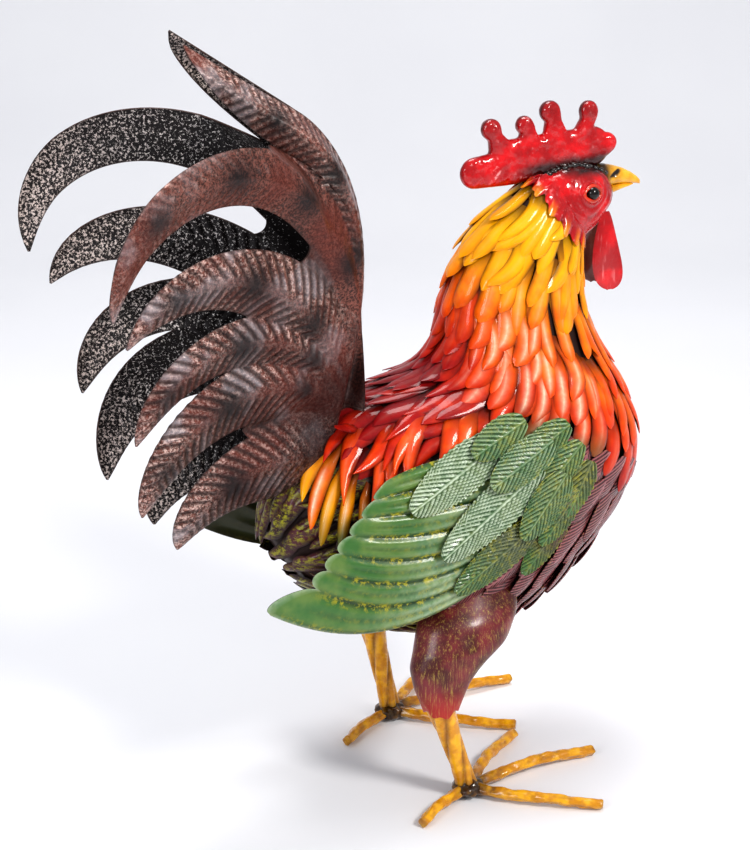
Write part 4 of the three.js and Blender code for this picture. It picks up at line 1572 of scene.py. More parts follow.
            # Painted shade: a dark line along the slit where the first sickle lies over the second.
            if index == 0:
                crease = bell(across - 0.93, 0.07) * smooth(0.3, 0.42, u) * smooth(0.68, 0.6, u)
                deep = np.maximum(deep, 1.2 * crease)
            cloud = 0.9 * spot * smooth(0.12, 0.25, u) * smooth(0.95, 0.8, u) + 0.5 * slit
            found = {"height": ridge + self.barb * strength * barb, "along": u, "pale": np.clip(wear_and_highlight, 0, 1)}
            found |= {"groove": np.clip(deep, 0, 1), "cloud": np.clip(cloud, 0, 0.9)}
            for key, value in found.items():
                made[key] = np.where(take, value, made[key])
        # Painted shade round the tail's root, laid into the black clouds.
        root_shade = 0.7 * smooth(75, 30, np.hypot(points[:, 0] + 90, points[:, 1] - 330))
        made["cloud"] = np.maximum(made["cloud"], root_shade)
        return made

    def place(self, index: int, points: Array) -> tuple[Array, Array, Array]:
        """Finds where points lie along and beside a sickle's curve.

        Args:
            index: Which sickle.
            points: X and Z of each point.

        Returns:
            Share along the curve, signed millimetres beside it, and its half width there.
        """
        line, heading, share = self.line(self.sickles[index])
        gaps = points[:, None] - line[None]
        nearest = np.argmin(np.sum(gaps**2, axis=2), axis=1)
        gap = gaps[np.arange(len(points)), nearest]
        h = heading[nearest]
        ahead = gap[:, 0] * np.cos(h) + gap[:, 1] * np.sin(h)
        off = -gap[:, 0] * np.sin(h) + gap[:, 1] * np.cos(h)
        u = share[nearest] + ahead / self.sickles[index][6]
        return np.clip(u, 0, 1), off, self.width(index, np.clip(u, 0, 1))

    def sheet(self) -> tuple[Array, list[tuple[int, int, int]], Array]:
        """Triangulates the joined outlines of the sickles.

        Returns:
            Points in side view, triangles, and the distance of each point from the edge.
        """
        outlines = [self.outline(i) for i in range(len(self.sickles))] + [self.bridge()]
        every = np.concatenate(outlines)
        low, high = every.min(axis=0) - 2, every.max(axis=0) + 2
        columns = np.arange(low[0], high[0], self.spacing)
        levels = np.arange(low[1], high[1], self.spacing * 0.866)
        gx, gz = np.meshgrid(columns, levels)
        gx[1::2] += self.spacing / 2
        grid = np.stack([gx.ravel(), gz.ravel()], axis=1)
        held = np.zeros(len(grid), bool)
        for outline in outlines:
            held |= inside_polygon(grid, outline)
        grid = grid[held]
        away = np.full(len(grid), 1e9)
        for outline in outlines:
            away = np.minimum(away, nearest_gap(grid, outline))
        grid = grid[away > self.spacing * 0.45]
        points = [Vector(p) for p in np.concatenate([every, grid])]
        faces, start = [], 0
        for outline in outlines:
            faces.append(list(range(start, start + len(outline))))
            start += len(outline)
        flat, _, triangles, *_ = delaunay_2d_cdt(points, [], faces, 1, 1e-4)
        flat = np.array([tuple(p) for p in flat])
        drawn_in = self.squeeze + (flat[:, 0] - self.squeeze) * 0.9
        flat[:, 0] = np.where(flat[:, 0] < self.squeeze, drawn_in, flat[:, 0])
        triangles = [tuple(t) for t in triangles]
        edges: dict[tuple[int, int], int] = {}
        for t in triangles:
            for i in range(3):
                key = (min(t[i], t[i - 1]), max(t[i], t[i - 1]))
                edges[key] = edges.get(key, 0) + 1
        border = sorted({i for key, uses in edges.items() if uses == 1 for i in key})
        rim = flat[border]
        # The points go in twelve parts, which keeps the table of distances small.
        return flat, triangles, np.concatenate([nearest_gap(part, rim) for part in np.array_split(flat, 12)])

    def build(self, outside: Paint, inside: Paint) -> Piece:
        """Builds the sheet with its back and edges.

        Args:
            outside: Paint of the outer face.
            inside: Paint of the back.

        Returns:
            The piece.
        """
        flat, triangles, distance = self.sheet()
        made = self.relief(flat)
        base = self.spread(flat)
        upright = 13 * smooth(0, 14, nearest_gap(flat, self.line(self.sickles[0])[0]))
        base = base + (upright - base) * made["front"]
        out = self.lip + base + made["height"]
        sign = self.side.sign
        # The near side's first sickle is bent a little lower, so both tips show.
        dip = made["front"] ** 4 * smooth(0.55, 1.0, made["along"]) * (1 if self.side is Side.RIGHT else 0)
        outer = points_of(flat[:, 0] + 8 * dip, sign * out, flat[:, 1] - 10 * dip)
        normal = vertex_normals(outer, triangles)
        normal *= np.where(normal[:, 1:2] * sign < 0, -1, 1)
        back = outer - normal * self.thickness
        used = {(t[i], t[(i + 1) % 3]): None for t in triangles for i in range(3)}
        size = len(flat)
        faces = list(triangles) + [(a + size, c + size, b + size) for a, b, c in triangles]
        faces += [(b, a, a + size, b + size) for a, b in used if (b, a) not in used]
        mesh = MeshBuilder(self.placing)
        values = {key: made[key] for key in ("along", "pale", "cloud", "groove")}
        values["rim"] = smooth(1.6, 0.2, distance) * 0.8
        both = {key: np.tile(value, 2) for key, value in values.items()}
        mesh.add(np.concatenate([outer, back]), faces, **both)
        fan = mesh.build(f"tail_fan_sheet_{self.side}", outside, inside, sharp=60)
        index = np.zeros(len(fan.data.polygons), np.int32)
        index[len(triangles) : 2 * len(triangles)] = 1
        fan.data.polygons.foreach_set("material_index", index)
        return fan


def nearest_gap(points: Array, line: Array) -> Array:
    """Returns the distance of each point from the nearest point of a line."""
    return np.min(np.linalg.norm(points[:, None] - line[None], axis=2), axis=1)


def inside_polygon(points: Array, outline: Array) -> Array:
    """Returns which points lie inside a closed outline.

    Args:
        points: X and Z of each point.
        outline: Its corners in order.

    Returns:
        One truth value a point.
    """
    held = np.zeros(len(points), bool)
    for (x0, z0), (x1, z1) in zip(outline, np.roll(outline, -1, axis=0)):
        crosses = (z0 > points[:, 1]) != (z1 > points[:, 1])
        if z0 != z1:
            held ^= crosses & (points[:, 0] < (x1 - x0) * (points[:, 1] - z0) / (z1 - z0) + x0)
    return held


def vertex_normals(points: Array, triangles: Sequence[tuple[int, int, int]]) -> Array:
    """Returns unit normals of a triangle mesh at its vertices.

    Args:
        points: Vertices.
        triangles: Three vertex numbers each.

    Returns:
        One normal a vertex.
    """
    index = np.array(triangles)
    a, b, c = (points[index[:, i]] for i in range(3))
    face = np.cross(b - a, c - a)
    total = np.zeros_like(points)
    for i in range(3):
        np.add.at(total, index[:, i], face)
    return total / (np.linalg.norm(total, axis=1, keepdims=True) + 1e-12)


def club_cloud(start: Sequence[float], end: Sequence[float], depth: float) -> Array:
    """Returns points on two round pillows that a hull joins into a club.

    Args:
        start: X, Z and radius of one end.
        end: X, Z and radius of the other end.
        depth: Half thickness in millimetres.

    Returns:
        Points in millimetres.
    """
    latitudes = np.linspace(-math.pi / 2, math.pi / 2, 9)
    cloud = []
    for x, z, radius in (start, end):
        for latitude in latitudes:
            out = radius * math.cos(latitude) ** 0.55 if math.cos(latitude) > 1e-6 else 0.0
            rise = depth * math.sin(latitude)
            cloud += [(x + out * math.cos(t), rise, z + out * math.sin(t)) for t in circle(24)]
    return np.array(cloud)


def fuse(hulls: Sequence[Array], voxel: float, passes: int) -> tuple[Array, list[tuple[int, ...]]]:
    """Joins the hulls of point clouds into one smooth closed skin.

    Args:
        hulls: Clouds of points in millimetres.
        voxel: Cell size in millimetres.
        passes: How many times the skin is relaxed.

    Returns:
        Points and faces.
    """
    work = bmesh.new()
    for cloud in hulls:
        made = [work.verts.new(p) for p in cloud]
        found = bmesh.ops.convex_hull(work, input=made)
        loose = [g for g in found["geom_interior"] if isinstance(g, bmesh.types.BMVert)]
        bmesh.ops.delete(work, geom=loose, context="VERTS")
    mesh = bpy.data.meshes.new("fusing")
    work.to_mesh(mesh)
    work.free()
    carrier = link_new("fusing", mesh)
    modifier = carrier.modifiers.new("skin", "REMESH")
    modifier.mode = "VOXEL"
    modifier.voxel_size = voxel
    depsgraph = bpy.context.evaluated_depsgraph_get()
    skin = bpy.data.meshes.new_from_object(carrier.evaluated_get(depsgraph), depsgraph=depsgraph)
    points = np.zeros(len(skin.vertices) * 3)
    skin.vertices.foreach_get("co", points)
    points = points.reshape(-1, 3)
    ends = np.zeros(len(skin.edges) * 2, int)
    skin.edges.foreach_get("vertices", ends)
    ends = ends.reshape(-1, 2)
    faces = [tuple(p.vertices) for p in skin.polygons]
    for _ in range(passes):
        total, count = np.zeros_like(points), np.zeros(len(points))
        for a, b in ((0, 1), (1, 0)):
            np.add.at(total, ends[:, a], points[ends[:, b]])
            np.add.at(count, ends[:, a], 1)
        points = 0.5 * points + 0.5 * total / count[:, None]
    bpy.data.objects.remove(carrier)
    return points, faces


def rough(points: Array, size_mm: float, octaves: int = 2) -> Array:
    """Returns even noise from -1 to 1 at points in millimetres."""
    return np.array([noise.fractal(Vector(p) / size_mm, 1.0, 2.0, octaves) for p in points])


@dataclass
class Head:
    """The head with its comb, beak, eyes and wattles."""

    placing: Placing
    centre: tuple[float, float, float] = (122.0, 0.0, 484.0)
    radii: tuple[float, float, float] = (40.0, 25.0, 28.5)
    eye: tuple[float, float] = (131.0, 490.0)
    # X, Z and radius of both ends of each club that the comb is fused from.
    clubs: tuple = (
        ((68, 517, 19), (142, 523, 17)),
        ((64, 513, 15), (35, 511, 13)),
        ((60, 524, 12), (53, 538, 6.2)),
        ((52, 540, 6.6), (49, 545, 8.8)),
        ((83, 528, 12), (83, 540, 6.0)),
        ((82, 543, 6.6), (79, 546, 7.8)),
        ((108, 532, 12), (105, 548, 6.4)),
        ((105, 550, 7.4), (102, 555, 9.2)),
        ((133, 528, 12), (137, 545, 5.6)),
        ((138, 547, 6.8), (138, 553, 8.4)),
        ((146, 520, 11), (156, 525, 9)),
    )
    # X, Z, half width and half height of each station of the beak, from its root to its tip.
    beak_upper: tuple = (
        (146, 498.0, 10.0, 10.6),
        (154, 498.2, 9.3, 9.8),
        (163, 497.8, 8.0, 8.0),
        (172, 496.4, 6.2, 6.4),
        (180, 494.0, 4.3, 4.8),
        (186, 491.6, 2.6, 3.2),
        (189.4, 489.6, 1.2, 1.9),
        (190.0, 488.4, 0.4, 0.8),
    )
    beak_lower: tuple = (
        (146, 484.6, 8.6, 5.0),
        (154, 485.4, 7.8, 4.4),
        (163, 486.6, 6.2, 3.4),
        (171, 487.6, 4.4, 2.5),
        (179, 488.2, 2.6, 1.5),
        (183, 488.4, 0.9, 0.7),
    )
    bead: tuple[float, float, float] = (5.6, 5.2, 5.6)
    comb_depth: float = 6.0
    voxel: float = 0.9
    relaxing: int = 11
    # Where the row of weld beads starts, how long it is, and how many beads there are.
    seam_start: float = 84.0
    seam_length: float = 68.0
    seam_beads: int = 15
    weld_bead: tuple[float, float, float] = (4.0, 3.0, 2.6)
    wattle_root: tuple[float, float, float] = (151.0, 12.0, 471.0)
    wattle_drop: float = 67.0
    wattle_half: float = 20.0
    wattle_thickness: float = 1.6

    def face(self, finish: Paint) -> Piece:
        """Builds the head with folds round the eyes and ruffled cheeks.

        Args:
            finish: Its paint.

        Returns:
            The piece.
        """
        rows, sides = 110, 128
        polar = np.linspace(0.02, math.pi - 0.02, rows)[:, None]
        turn = circle(sides)[None]
        unit = points_of(np.cos(polar), np.sin(polar) * np.sin(turn), np.sin(polar) * np.cos(turn))
        grid = unit * np.array(self.radii) + np.array(self.centre)
        direction = unit / np.array(self.radii)
        direction /= np.linalg.norm(direction, axis=-1, keepdims=True)
        dx, dz = grid[..., 0] - self.eye[0], grid[..., 2] - self.eye[1]
        reach = np.hypot(dx, dz * 1.15)
        side = smooth(6, 14, np.abs(grid[..., 1]))
        angle = np.arctan2(dz, dx)
        below = np.sin(angle)
        # Three folds round the eye; the outer two are only below it.
        fold = 2.2 * bell(reach - 9.5, 1.7)
        fold = fold + 1.3 * bell(reach - 15.5 - 1.2 * np.sin(3 * angle), 2.0) * smooth(0.4, -0.6, below)
        fold = fold + 1.6 * bell(reach - 22 - 1.6 * np.sin(4 * angle + 1), 2.2) * smooth(0.2, -0.7, below)
        cheek = 3.2 * np.exp(-(((grid[..., 0] - 116) / 11) ** 2 + ((grid[..., 2] - 472) / 8) ** 2))
        flat = grid.reshape(-1, 3)
        wrinkle = np.abs(rough(flat, 15, 1)).reshape(rows, sides) * 2.0 * smooth(12, 26, reach) * side
        socket = -1.6 * bell(reach, 6.0)
        grid = grid + direction * (side * (fold + socket) + side * cheek + wrinkle - 0.6)[..., None]
        grid[..., 2] -= 9 * smooth(-0.1, -0.9, unit[..., 2]) * smooth(152, 128, grid[..., 0])
        beak = smooth(150, 160, grid[..., 0] + 0.25 * (grid[..., 2] - 494))
        under = smooth(500, 509, grid[..., 2] + 0.08 * (grid[..., 0] - 120))
        shade = np.clip(0.95 * beak + 0.95 * under, 0, 0.97)
        # Painted shade in rings between the folds round the eye.
        lines = 0.16 * side * smooth(-0.2, -1.0, np.sin(reach / 1.15)) * smooth(34, 22, reach)
        mesh = MeshBuilder(self.placing)
        mesh.tube(grid, pale=0.15 * side, shade=np.clip(shade + lines, 0, 0.97))
        return mesh.build("head_face", finish)

    def frill(self, body: BodyForm, finish: Paint) -> Piece:
        """Builds the ruffled edge of the head sheet, laid over the top of the neck.

        Args:
            body: The neck that it lies on.
            finish: Its paint.

        Returns:
            The piece.
        """
        count, levels = 360, 14
        t = circle(count)[None]
        run = np.linspace(0, 1, levels)[:, None]
        off = np.degrees(np.abs(np.arctan2(np.sin(t), np.cos(t))))
        reach = np.interp(off, (0, 35, 60, 85, 110, 150, 180), (-0.35, -0.3, -0.1, 0.25, 0.5, 0.4, 0.35))
        wave = np.sin(15 * t + 1.7 * np.sin(3 * t)) + 0.5 * np.sin(27 * t + 2)
        edge = reach + 0.1 * wave
        section = -1.1 + (edge + 1.1) * run
        lift = -6 + 11.5 * smooth(0, 0.85, run) + 1.2 * wave * run**2
        outer, inner = (body.point(section, t, lift - depth) for depth in (0, 0.9))
        loop = np.concatenate([outer, inner[::-1]], axis=0)
        # Gold on the crests of the ruffles near the edge, and painted shade in their troughs.
        gold = 0.9 * smooth(0.6, 1.0, run) * smooth(-0.2, 0.9, wave)
        shade = 0.5 * run**3 * smooth(-0.4, -1.2, wave)
        gold, shade = (np.concatenate([value, value[::-1]]).ravel() for value in (gold, shade))
        mesh = MeshBuilder(self.placing)
        mesh.add(loop.reshape(-1, 3), loop_faces(len(loop), count), gold=gold, shade=shade, pale=0.3)
        return mesh.build("head_frill", finish)

    def comb(self, finish: Paint) -> Piece:
        """Builds the hammered comb with five knobs and a long rear lobe.

        Args:
            finish: Its paint.

        Returns:
            The piece.
        """
        clouds = [club_cloud(start, end, self.comb_depth) for start, end in self.clubs]
        points, faces = fuse(clouds, self.voxel, self.relaxing)
        dents = rough(points, 8, 2)
        side = np.sign(points[:, 1])
        points[:, 1] += side * 0.9 * dents * smooth(1, 4, np.abs(points[:, 1]))
        knobs = smooth(540, 556, points[:, 2] + 8 * smooth(70, 40, points[:, 0])) * 0.4
        seam = 506 + 0.05 * (points[:, 0] - 60)
        under = smooth(seam + 12, seam + 3, points[:, 2]) * smooth(62, 92, points[:, 0])
        middle = 0.4 * smooth(3.4, 1.0, np.abs(points[:, 1]))
        # Painted highlight: pale pink on the raised dents, more towards the back of the comb.
        raised = smooth(0.0, 0.5, dents)
        pale = raised * 0.55 * smooth(110, 60, points[:, 0]) + 0.25 * raised
        mesh = MeshBuilder(self.placing)
        mesh.add(points, faces, pale=pale, shade=np.clip(knobs + 0.95 * under + middle, 0, 0.97))
        return mesh.build("comb_skin", finish)

    def weld_row(self, finish: Paint) -> Piece:
        """Sets a row of weld beads along the seam under the comb.

        Args:
            finish: Its paint.

        Returns:
            The piece.
        """
        random = np.random.default_rng(3)
        points, turns, sizes = [], [], []
        for side in Side:
            for share in np.linspace(0, 1, self.seam_beads):
                x = self.seam_start + self.seam_length * share
                height = 484 + 27.5 * math.sqrt(max(0.0, 1 - ((x - 122) / 41) ** 2)) * 0.95
                points.append((x, side.sign * (6.2 + random.uniform(-0.6, 0.6)), height + random.uniform(-0.5, 0.5)))
                turns.append((0.0, 0.0, random.uniform(0, 3)))
                sizes.append(random.uniform(0.8, 1.25))
        places = place_points("bead_places", self.placing.metres(np.array(points)), turns, sizes)
        ball = MeshBuilder(Placing((0.0, 0.0)))
        ball.tube(ball_grid((0, 0, 0), self.weld_bead, 12, 16))
        return scatter("comb_weld", places, ball.build("bead_pattern"), finish, 4, tilt=12.0, vary=0.15)

    def wattle(self, side: Side, finish: Paint) -> Piece:
        """Builds one hanging wattle.

        Args:
            side: Which side.
            finish: Its paint.

        Returns:
            The piece.
        """
        rows, columns = 48, 23
        u, v = np.linspace(0.004, 0.996, rows)[:, None], np.linspace(-1, 1, columns)[None]
        root_x, root_y, root_z = self.wattle_root
        z = root_z - self.wattle_drop * u
        half = self.wattle_half * (u**0.75) * np.sqrt(np.clip(1 - u**4.5, 0, 1)) + 2.4 * (1 - u)
        x = root_x + 6.0 * u - 2.0 * np.sin(math.pi * u) + half * v
        pillow = 1.8 * np.sqrt(np.clip(1 - v**2, 0, 1)) * np.sqrt(np.clip(np.sin(math.pi * u), 0, 1))
        y = side.sign * (root_y + 2.5 * u + pillow + 0.5 * np.sin(5 * u + 2 * v))
        # Painted highlight: pink down the middle of the wattle; darker at its root.
        pale, shade = 0.5 * smooth(1.0, 0.3, np.abs(v)), 0.15 * smooth(0.12, 0.0, u)
        mesh = MeshBuilder(self.placing)
        facing = np.array([0, side.sign, 0.0])
        mesh.plate(points_of(x, y, z), self.wattle_thickness, facing, pale=pale, shade=shade)
        return mesh.build(f"wattle_sheet_{side}", finish)

    def beak(self, upper: bool, finish: Paint) -> Piece:
        """Builds the upper or lower half of the beak.

        Args:
            upper: Which half.
            finish: Its paint.

        Returns:
            The piece.
        """
        table = np.array(self.beak_upper if upper else self.beak_lower)
        rows, sides = 60, 48
        place = np.linspace(0, len(table) - 1, rows)
        x, z, wide, high = (np.interp(place, np.arange(len(table)), table[:, i]) for i in range(4))
        turn = circle(sides)
        cos, sin = np.cos(turn), np.sin(turn)
        bent = np.sign(sin) * np.abs(sin) ** (0.8 if upper else 0.9)
        across = wide[:, None] * cos[None] * (1 - 0.18 * np.clip(sin, 0, 1))[None]
        grid = points_of(x[:, None], across, z[:, None] + high[:, None] * bent[None])
        dx, dz = grid[..., 0] - 162, grid[..., 2] - 500
        slit = np.hypot((dx - 0.5 * dz) / 5.4, (dz - 0.3 * dx) / 2.4)
        hole = smooth(1.15, 0.75, slit) * smooth(3, 5, np.abs(grid[..., 1])) * (1 if upper else 0)
        grid[..., 1] -= np.sign(grid[..., 1]) * 1.6 * hole
        root = smooth(159, 151, grid[..., 0] - 0.1 * (grid[..., 2] - 496))
        mesh = MeshBuilder(self.placing)
        # The nostril slit is painted near black as the shade inside it; the beak is also darker at its root.
        mesh.tube(grid, shade=0.3 * smooth(172, 158, grid[..., 0]), dark=np.clip(0.95 * root + hole, 0, 1))
        return mesh.build("beak_upper_skin" if upper else "beak_lower_skin", finish)

    def half_width(self, x: Array, z: Array) -> Array:
        """Returns the half width of the plain head at places in side view."""
        share = ((x - self.centre[0]) / self.radii[0]) ** 2 + ((z - self.centre[2]) / self.radii[2]) ** 2
        return self.radii[1] * np.sqrt(np.clip(1 - share, 0, 1))

    def eyeball(self, side: Side, finish: Paint) -> Piece:
        """Builds one bead of an eye.

        Args:
            side: Which side.
            finish: Its paint.

        Returns:
            The piece.
        """
        y = side.sign * (self.half_width(*self.eye) - 0.6)
        mesh = MeshBuilder(self.placing)
        mesh.tube(ball_grid((self.eye[0], y, self.eye[1]), self.bead, 28, 36))
        return mesh.build(f"eye_bead_{side}", finish)

    def lids(self, side: Side, finish: Paint) -> Piece:
        """Builds the almond rim round one eye.

        Args:
            side: Which side.
            finish: Its paint.

        Returns:
            The piece.
        """
        count, sides = 64, 14
        t = circle(count)[:, None]
        s = circle(sides)[None]
        corner = 1 + 0.28 * np.abs(np.cos(t)) ** 6
        thick = 1.5 + 0.5 * np.sin(t + 0.5) ** 2
        reach = 6.5 * corner + thick * np.cos(s)
        x = self.eye[0] - 0.3 + reach * np.cos(t)
        z = self.eye[1] + reach * np.sin(t) * 0.92
        y = side.sign * (self.half_width(x, z) + 0.5 + thick * np.sin(s))
        mesh = MeshBuilder(self.placing)
        mesh.add(points_of(x, y, z).reshape(-1, 3), loop_faces(count, sides))
        return mesh.build(f"eye_rim_{side}", finish)


def ball_grid(centre: Sequence[float], radii: Sequence[float], rows: int, sides: int) -> Array:
    """Returns rings of points on an ellipsoid, from bottom to top.

    Args:
        centre: Its middle.
        radii: Its half sizes.
        rows: How many rings.
        sides: Points in a ring.

    Returns:
        Rings of points.
    """
    polar = np.linspace(0.03, math.pi - 0.03, rows)[:, None]
    turn = circle(sides)[None]
    unit = points_of(np.sin(polar) * np.cos(turn), np.sin(polar) * np.sin(turn), -np.cos(polar))
    return unit * np.array(radii) + np.array(centre)


@dataclass
class Leg:
    """One leg: a thigh cone, a twisted shank, four hammered toes and the weld that joins them."""

    side: Side
    placing: Placing
    toes: tuple = (
        # Name, angle, length, sideways bow, arch.
        ("outer", -37, 114, -5, 3.0),
        ("middle", 6, 131, 5, 4.5),
        ("inner", 40, 108, 4, 3.0),
        ("hind", 209, 66, -3, 2.0),
    )
    # Rise, forward, radius and inward shift of each thigh ring.
    rings: tuple = (
        (0, 0, 12.5, 0),
        (12, 1, 17, 1),
        (27, 3, 25, 4),
        (42, 10, 33, 8),
        (58, 24, 41, 12),
        (80, 36, 44, 22),
        (104, 46, 38, 40),
    )
    # Place round the shank, depth and width of each of its folds.
    folds: tuple = ((0.9, 1.8, 0.2), (2.2, 2.6, 0.24), (4.0, 2.4, 0.26), (5.2, 1.6, 0.2))
    rod_radius: float = 4.9
    shank_radius: float = 9.2
    shank_foot: float = 9.0
    thigh_foot: float = 80.0
    weld_height: float = 8.2
    weld_radii: tuple[float, float, float] = (13.5, 13.0, 8.0)

    @property
    def ankle(self) -> tuple[float, float]:
        """Where the toes meet."""
        return ANKLE_AT if self.side is Side.RIGHT else (-4.0, 70.0)

    @property
    def lean(self) -> float:
        """How far back the shank's top lies."""
        return 26.0 if self.side is Side.RIGHT else 20.0

    def toe(self, name: str, angle: float, length: float, bow: float, arch: float, finish: Paint) -> Piece:
        """Builds one hammered rod.

        Args:
            name: Which toe.
            angle: Heading in degrees.
            length: Millimetres.
            bow: Sideways bend.
            arch: Rise of its middle.
            finish: Its paint.

        Returns:
            The piece.
        """
        rows, sides = 90, 28
        u = np.linspace(0, 1, rows)
        turn = math.radians(angle)
        forward, across = (math.cos(turn), math.sin(turn)), np.array([-math.sin(turn), math.cos(turn), 0.0])
        away = u * length
        shift = bow * np.sin(math.pi * u)
        rise = 5 + 3 * (1 - smooth(0, 0.45, u)) + arch * np.sin(math.pi * np.clip(u * 1.05 - 0.05, 0, 1)) ** 2
        x, y = (self.ankle[i] + away * forward[i] + shift * across[i] for i in (0, 1))
        centre = points_of(x, y, rise)
        ring = circle(sides)
        seed = sum(ord(c) for c in name + self.side)
        places = [[(a / 9.0, 1.1 * math.cos(r), 1.1 * math.sin(r) + seed) for r in ring] for a in away]
        marks = np.array([[noise.noise(Vector(place)) for place in row] for row in places])
        facets = 0.35 * np.cos(4 * ring[None] + 0.5 * np.sin(away / 15)[:, None])
        radius = (self.rod_radius + 1.3 * marks + facets) * (1 - 0.1 * u[:, None])
        radius = radius * np.minimum(1, (1 - u) * 40 + 0.62)[:, None] ** 0.5
        around = np.cos(ring)[:, None] * across + np.sin(ring)[:, None] * np.array([0, 0, 1.0])
        grid = centre[:, None] + radius[..., None] * around[None]
        grid[..., 2] = np.maximum(grid[..., 2], 0.15)
        # Painted shade: brown in the hammer dents and towards the ankle.
        shade = np.clip(0.05 + 0.35 * smooth(0.0, -0.5, marks) + 0.8 * smooth(0.4, 0.05, u)[:, None], 0, 1)
        dark = 0.85 * smooth(0.2, 0.02, u)[:, None] + 0.35 * smooth(0.97, 1.0, u)[:, None]
        mesh = MeshBuilder(self.placing)
        mesh.tube(grid, shade=shade, dark=dark)
        return mesh.build(f"toe_rod_{name}_{self.side}", finish, sharp=60)

    def shank(self, finish: Paint) -> Piece:
        """Builds the folded and twisted tube between foot and thigh.

        Args:
            finish: Its paint.

        Returns:
            The piece.
        """
        rows, sides = 88, 64
        u = np.linspace(0, 1.1, rows)[:, None]
        ring = circle(sides)[None]
        turned = np.mod(ring - math.radians(150) * u, 2 * math.pi)
        fold = -sum(depth * bell(turned - place, wide) for place, depth, wide in self.folds)
        size = self.shank_radius * (0.93 + 0.3 * u) + 1.1 * smooth(0.12, 0.0, u)
        radius = size * (1 + 0.07 * np.cos(2 * turned)) + fold
        top = 86.0 if self.side is Side.RIGHT else 102.0
        x = self.ankle[0] - self.lean * u + radius * np.cos(ring)
        y = self.ankle[1] + radius * np.sin(ring) * 0.92
        z = self.shank_foot + (top - self.shank_foot) * u
        # Painted shade: brown in the folds and towards the foot.
        shade = np.clip(-0.26 * fold + 0.5 * smooth(0.25, 0.0, u), 0, 1)
        mesh = MeshBuilder(self.placing)
        mesh.tube(points_of(x, y, z), shade=shade, dark=0.75 * smooth(0.12, 0.0, u))
        return mesh.build(f"shank_tube_{self.side}", finish)

    def thigh(self, finish: Paint) -> Piece:
        """Builds the thigh cone with its wavy lower rim over the shank.

        Args:
            finish: Its paint.

        Returns:
            The piece.
        """
        table = np.array(self.rings, float)
        rows, sides = 80, 96
        place = np.linspace(0.5 if self.side is Side.RIGHT else 1.3, len(table) - 1, rows)
        rise, forward, radius, inward = (np.interp(place, np.arange(len(table)), table[:, i]) for i in range(4))
        for _ in range(10):
            for line in (forward, radius, inward):
                line[1:-1] = 0.25 * line[:-2] + 0.5 * line[1:-1] + 0.25 * line[2:]
        ring = circle(sides)[None]
        flat = 1 - 0.38 * np.minimum(rise / 27, 1)
        toward = -math.copysign(1, self.ankle[1])
        x = self.ankle[0] - self.lean + forward[:, None] + radius[:, None] * np.cos(ring)
        y = self.ankle[1] + toward * inward[:, None] + (radius * flat)[:, None] * np.sin(ring)
        grid = points_of(x, y, self.thigh_foot + rise[:, None])
        grid[..., 2] -= (2 * np.sin(3 * ring + 1) + 1.5 * np.sin(7 * ring)) * smooth(20, 5, rise)[:, None]
        swell = rough(grid.reshape(-1, 3), 30, 2).reshape(rows, sides) * 0.8
        grid[..., 0] += swell * np.cos(ring)
        grid[..., 1] += swell * np.sin(ring)
        mesh = MeshBuilder(self.placing)
        mesh.tube(grid, red=smooth(34, 4, rise)[:, None] * 0.8, drag=0.75)
        return mesh.build(f"thigh_cone_{self.side}", finish)

    def weld(self, finish: Paint) -> Piece:
        """Builds the lumpy weld round the ankle.

        Args:
            finish: Its paint.

        Returns:
            The piece.
        """
        centre = (*self.ankle, self.weld_height)
        grid = ball_grid(centre, self.weld_radii, 40, 64)
        lumps = rough(grid.reshape(-1, 3), 6, 2).reshape(40, 64) * 2.0
        way = grid - np.array(centre)
        grid = grid + way / (np.linalg.norm(way, axis=-1, keepdims=True) + 1e-6) * lumps[..., None]
        grid[..., 2] = np.maximum(grid[..., 2], 0.3)
        dark = np.clip(0.9 - 0.35 * smooth(0.2, 1.2, lumps), 0, 1)
        mesh = MeshBuilder(self.placing)
        mesh.tube(grid, shade=smooth(-0.6, 0.8, lumps) * 0.2 + 0.8, dark=dark)
        return mesh.build(f"ankle_lump_{self.side}", finish)


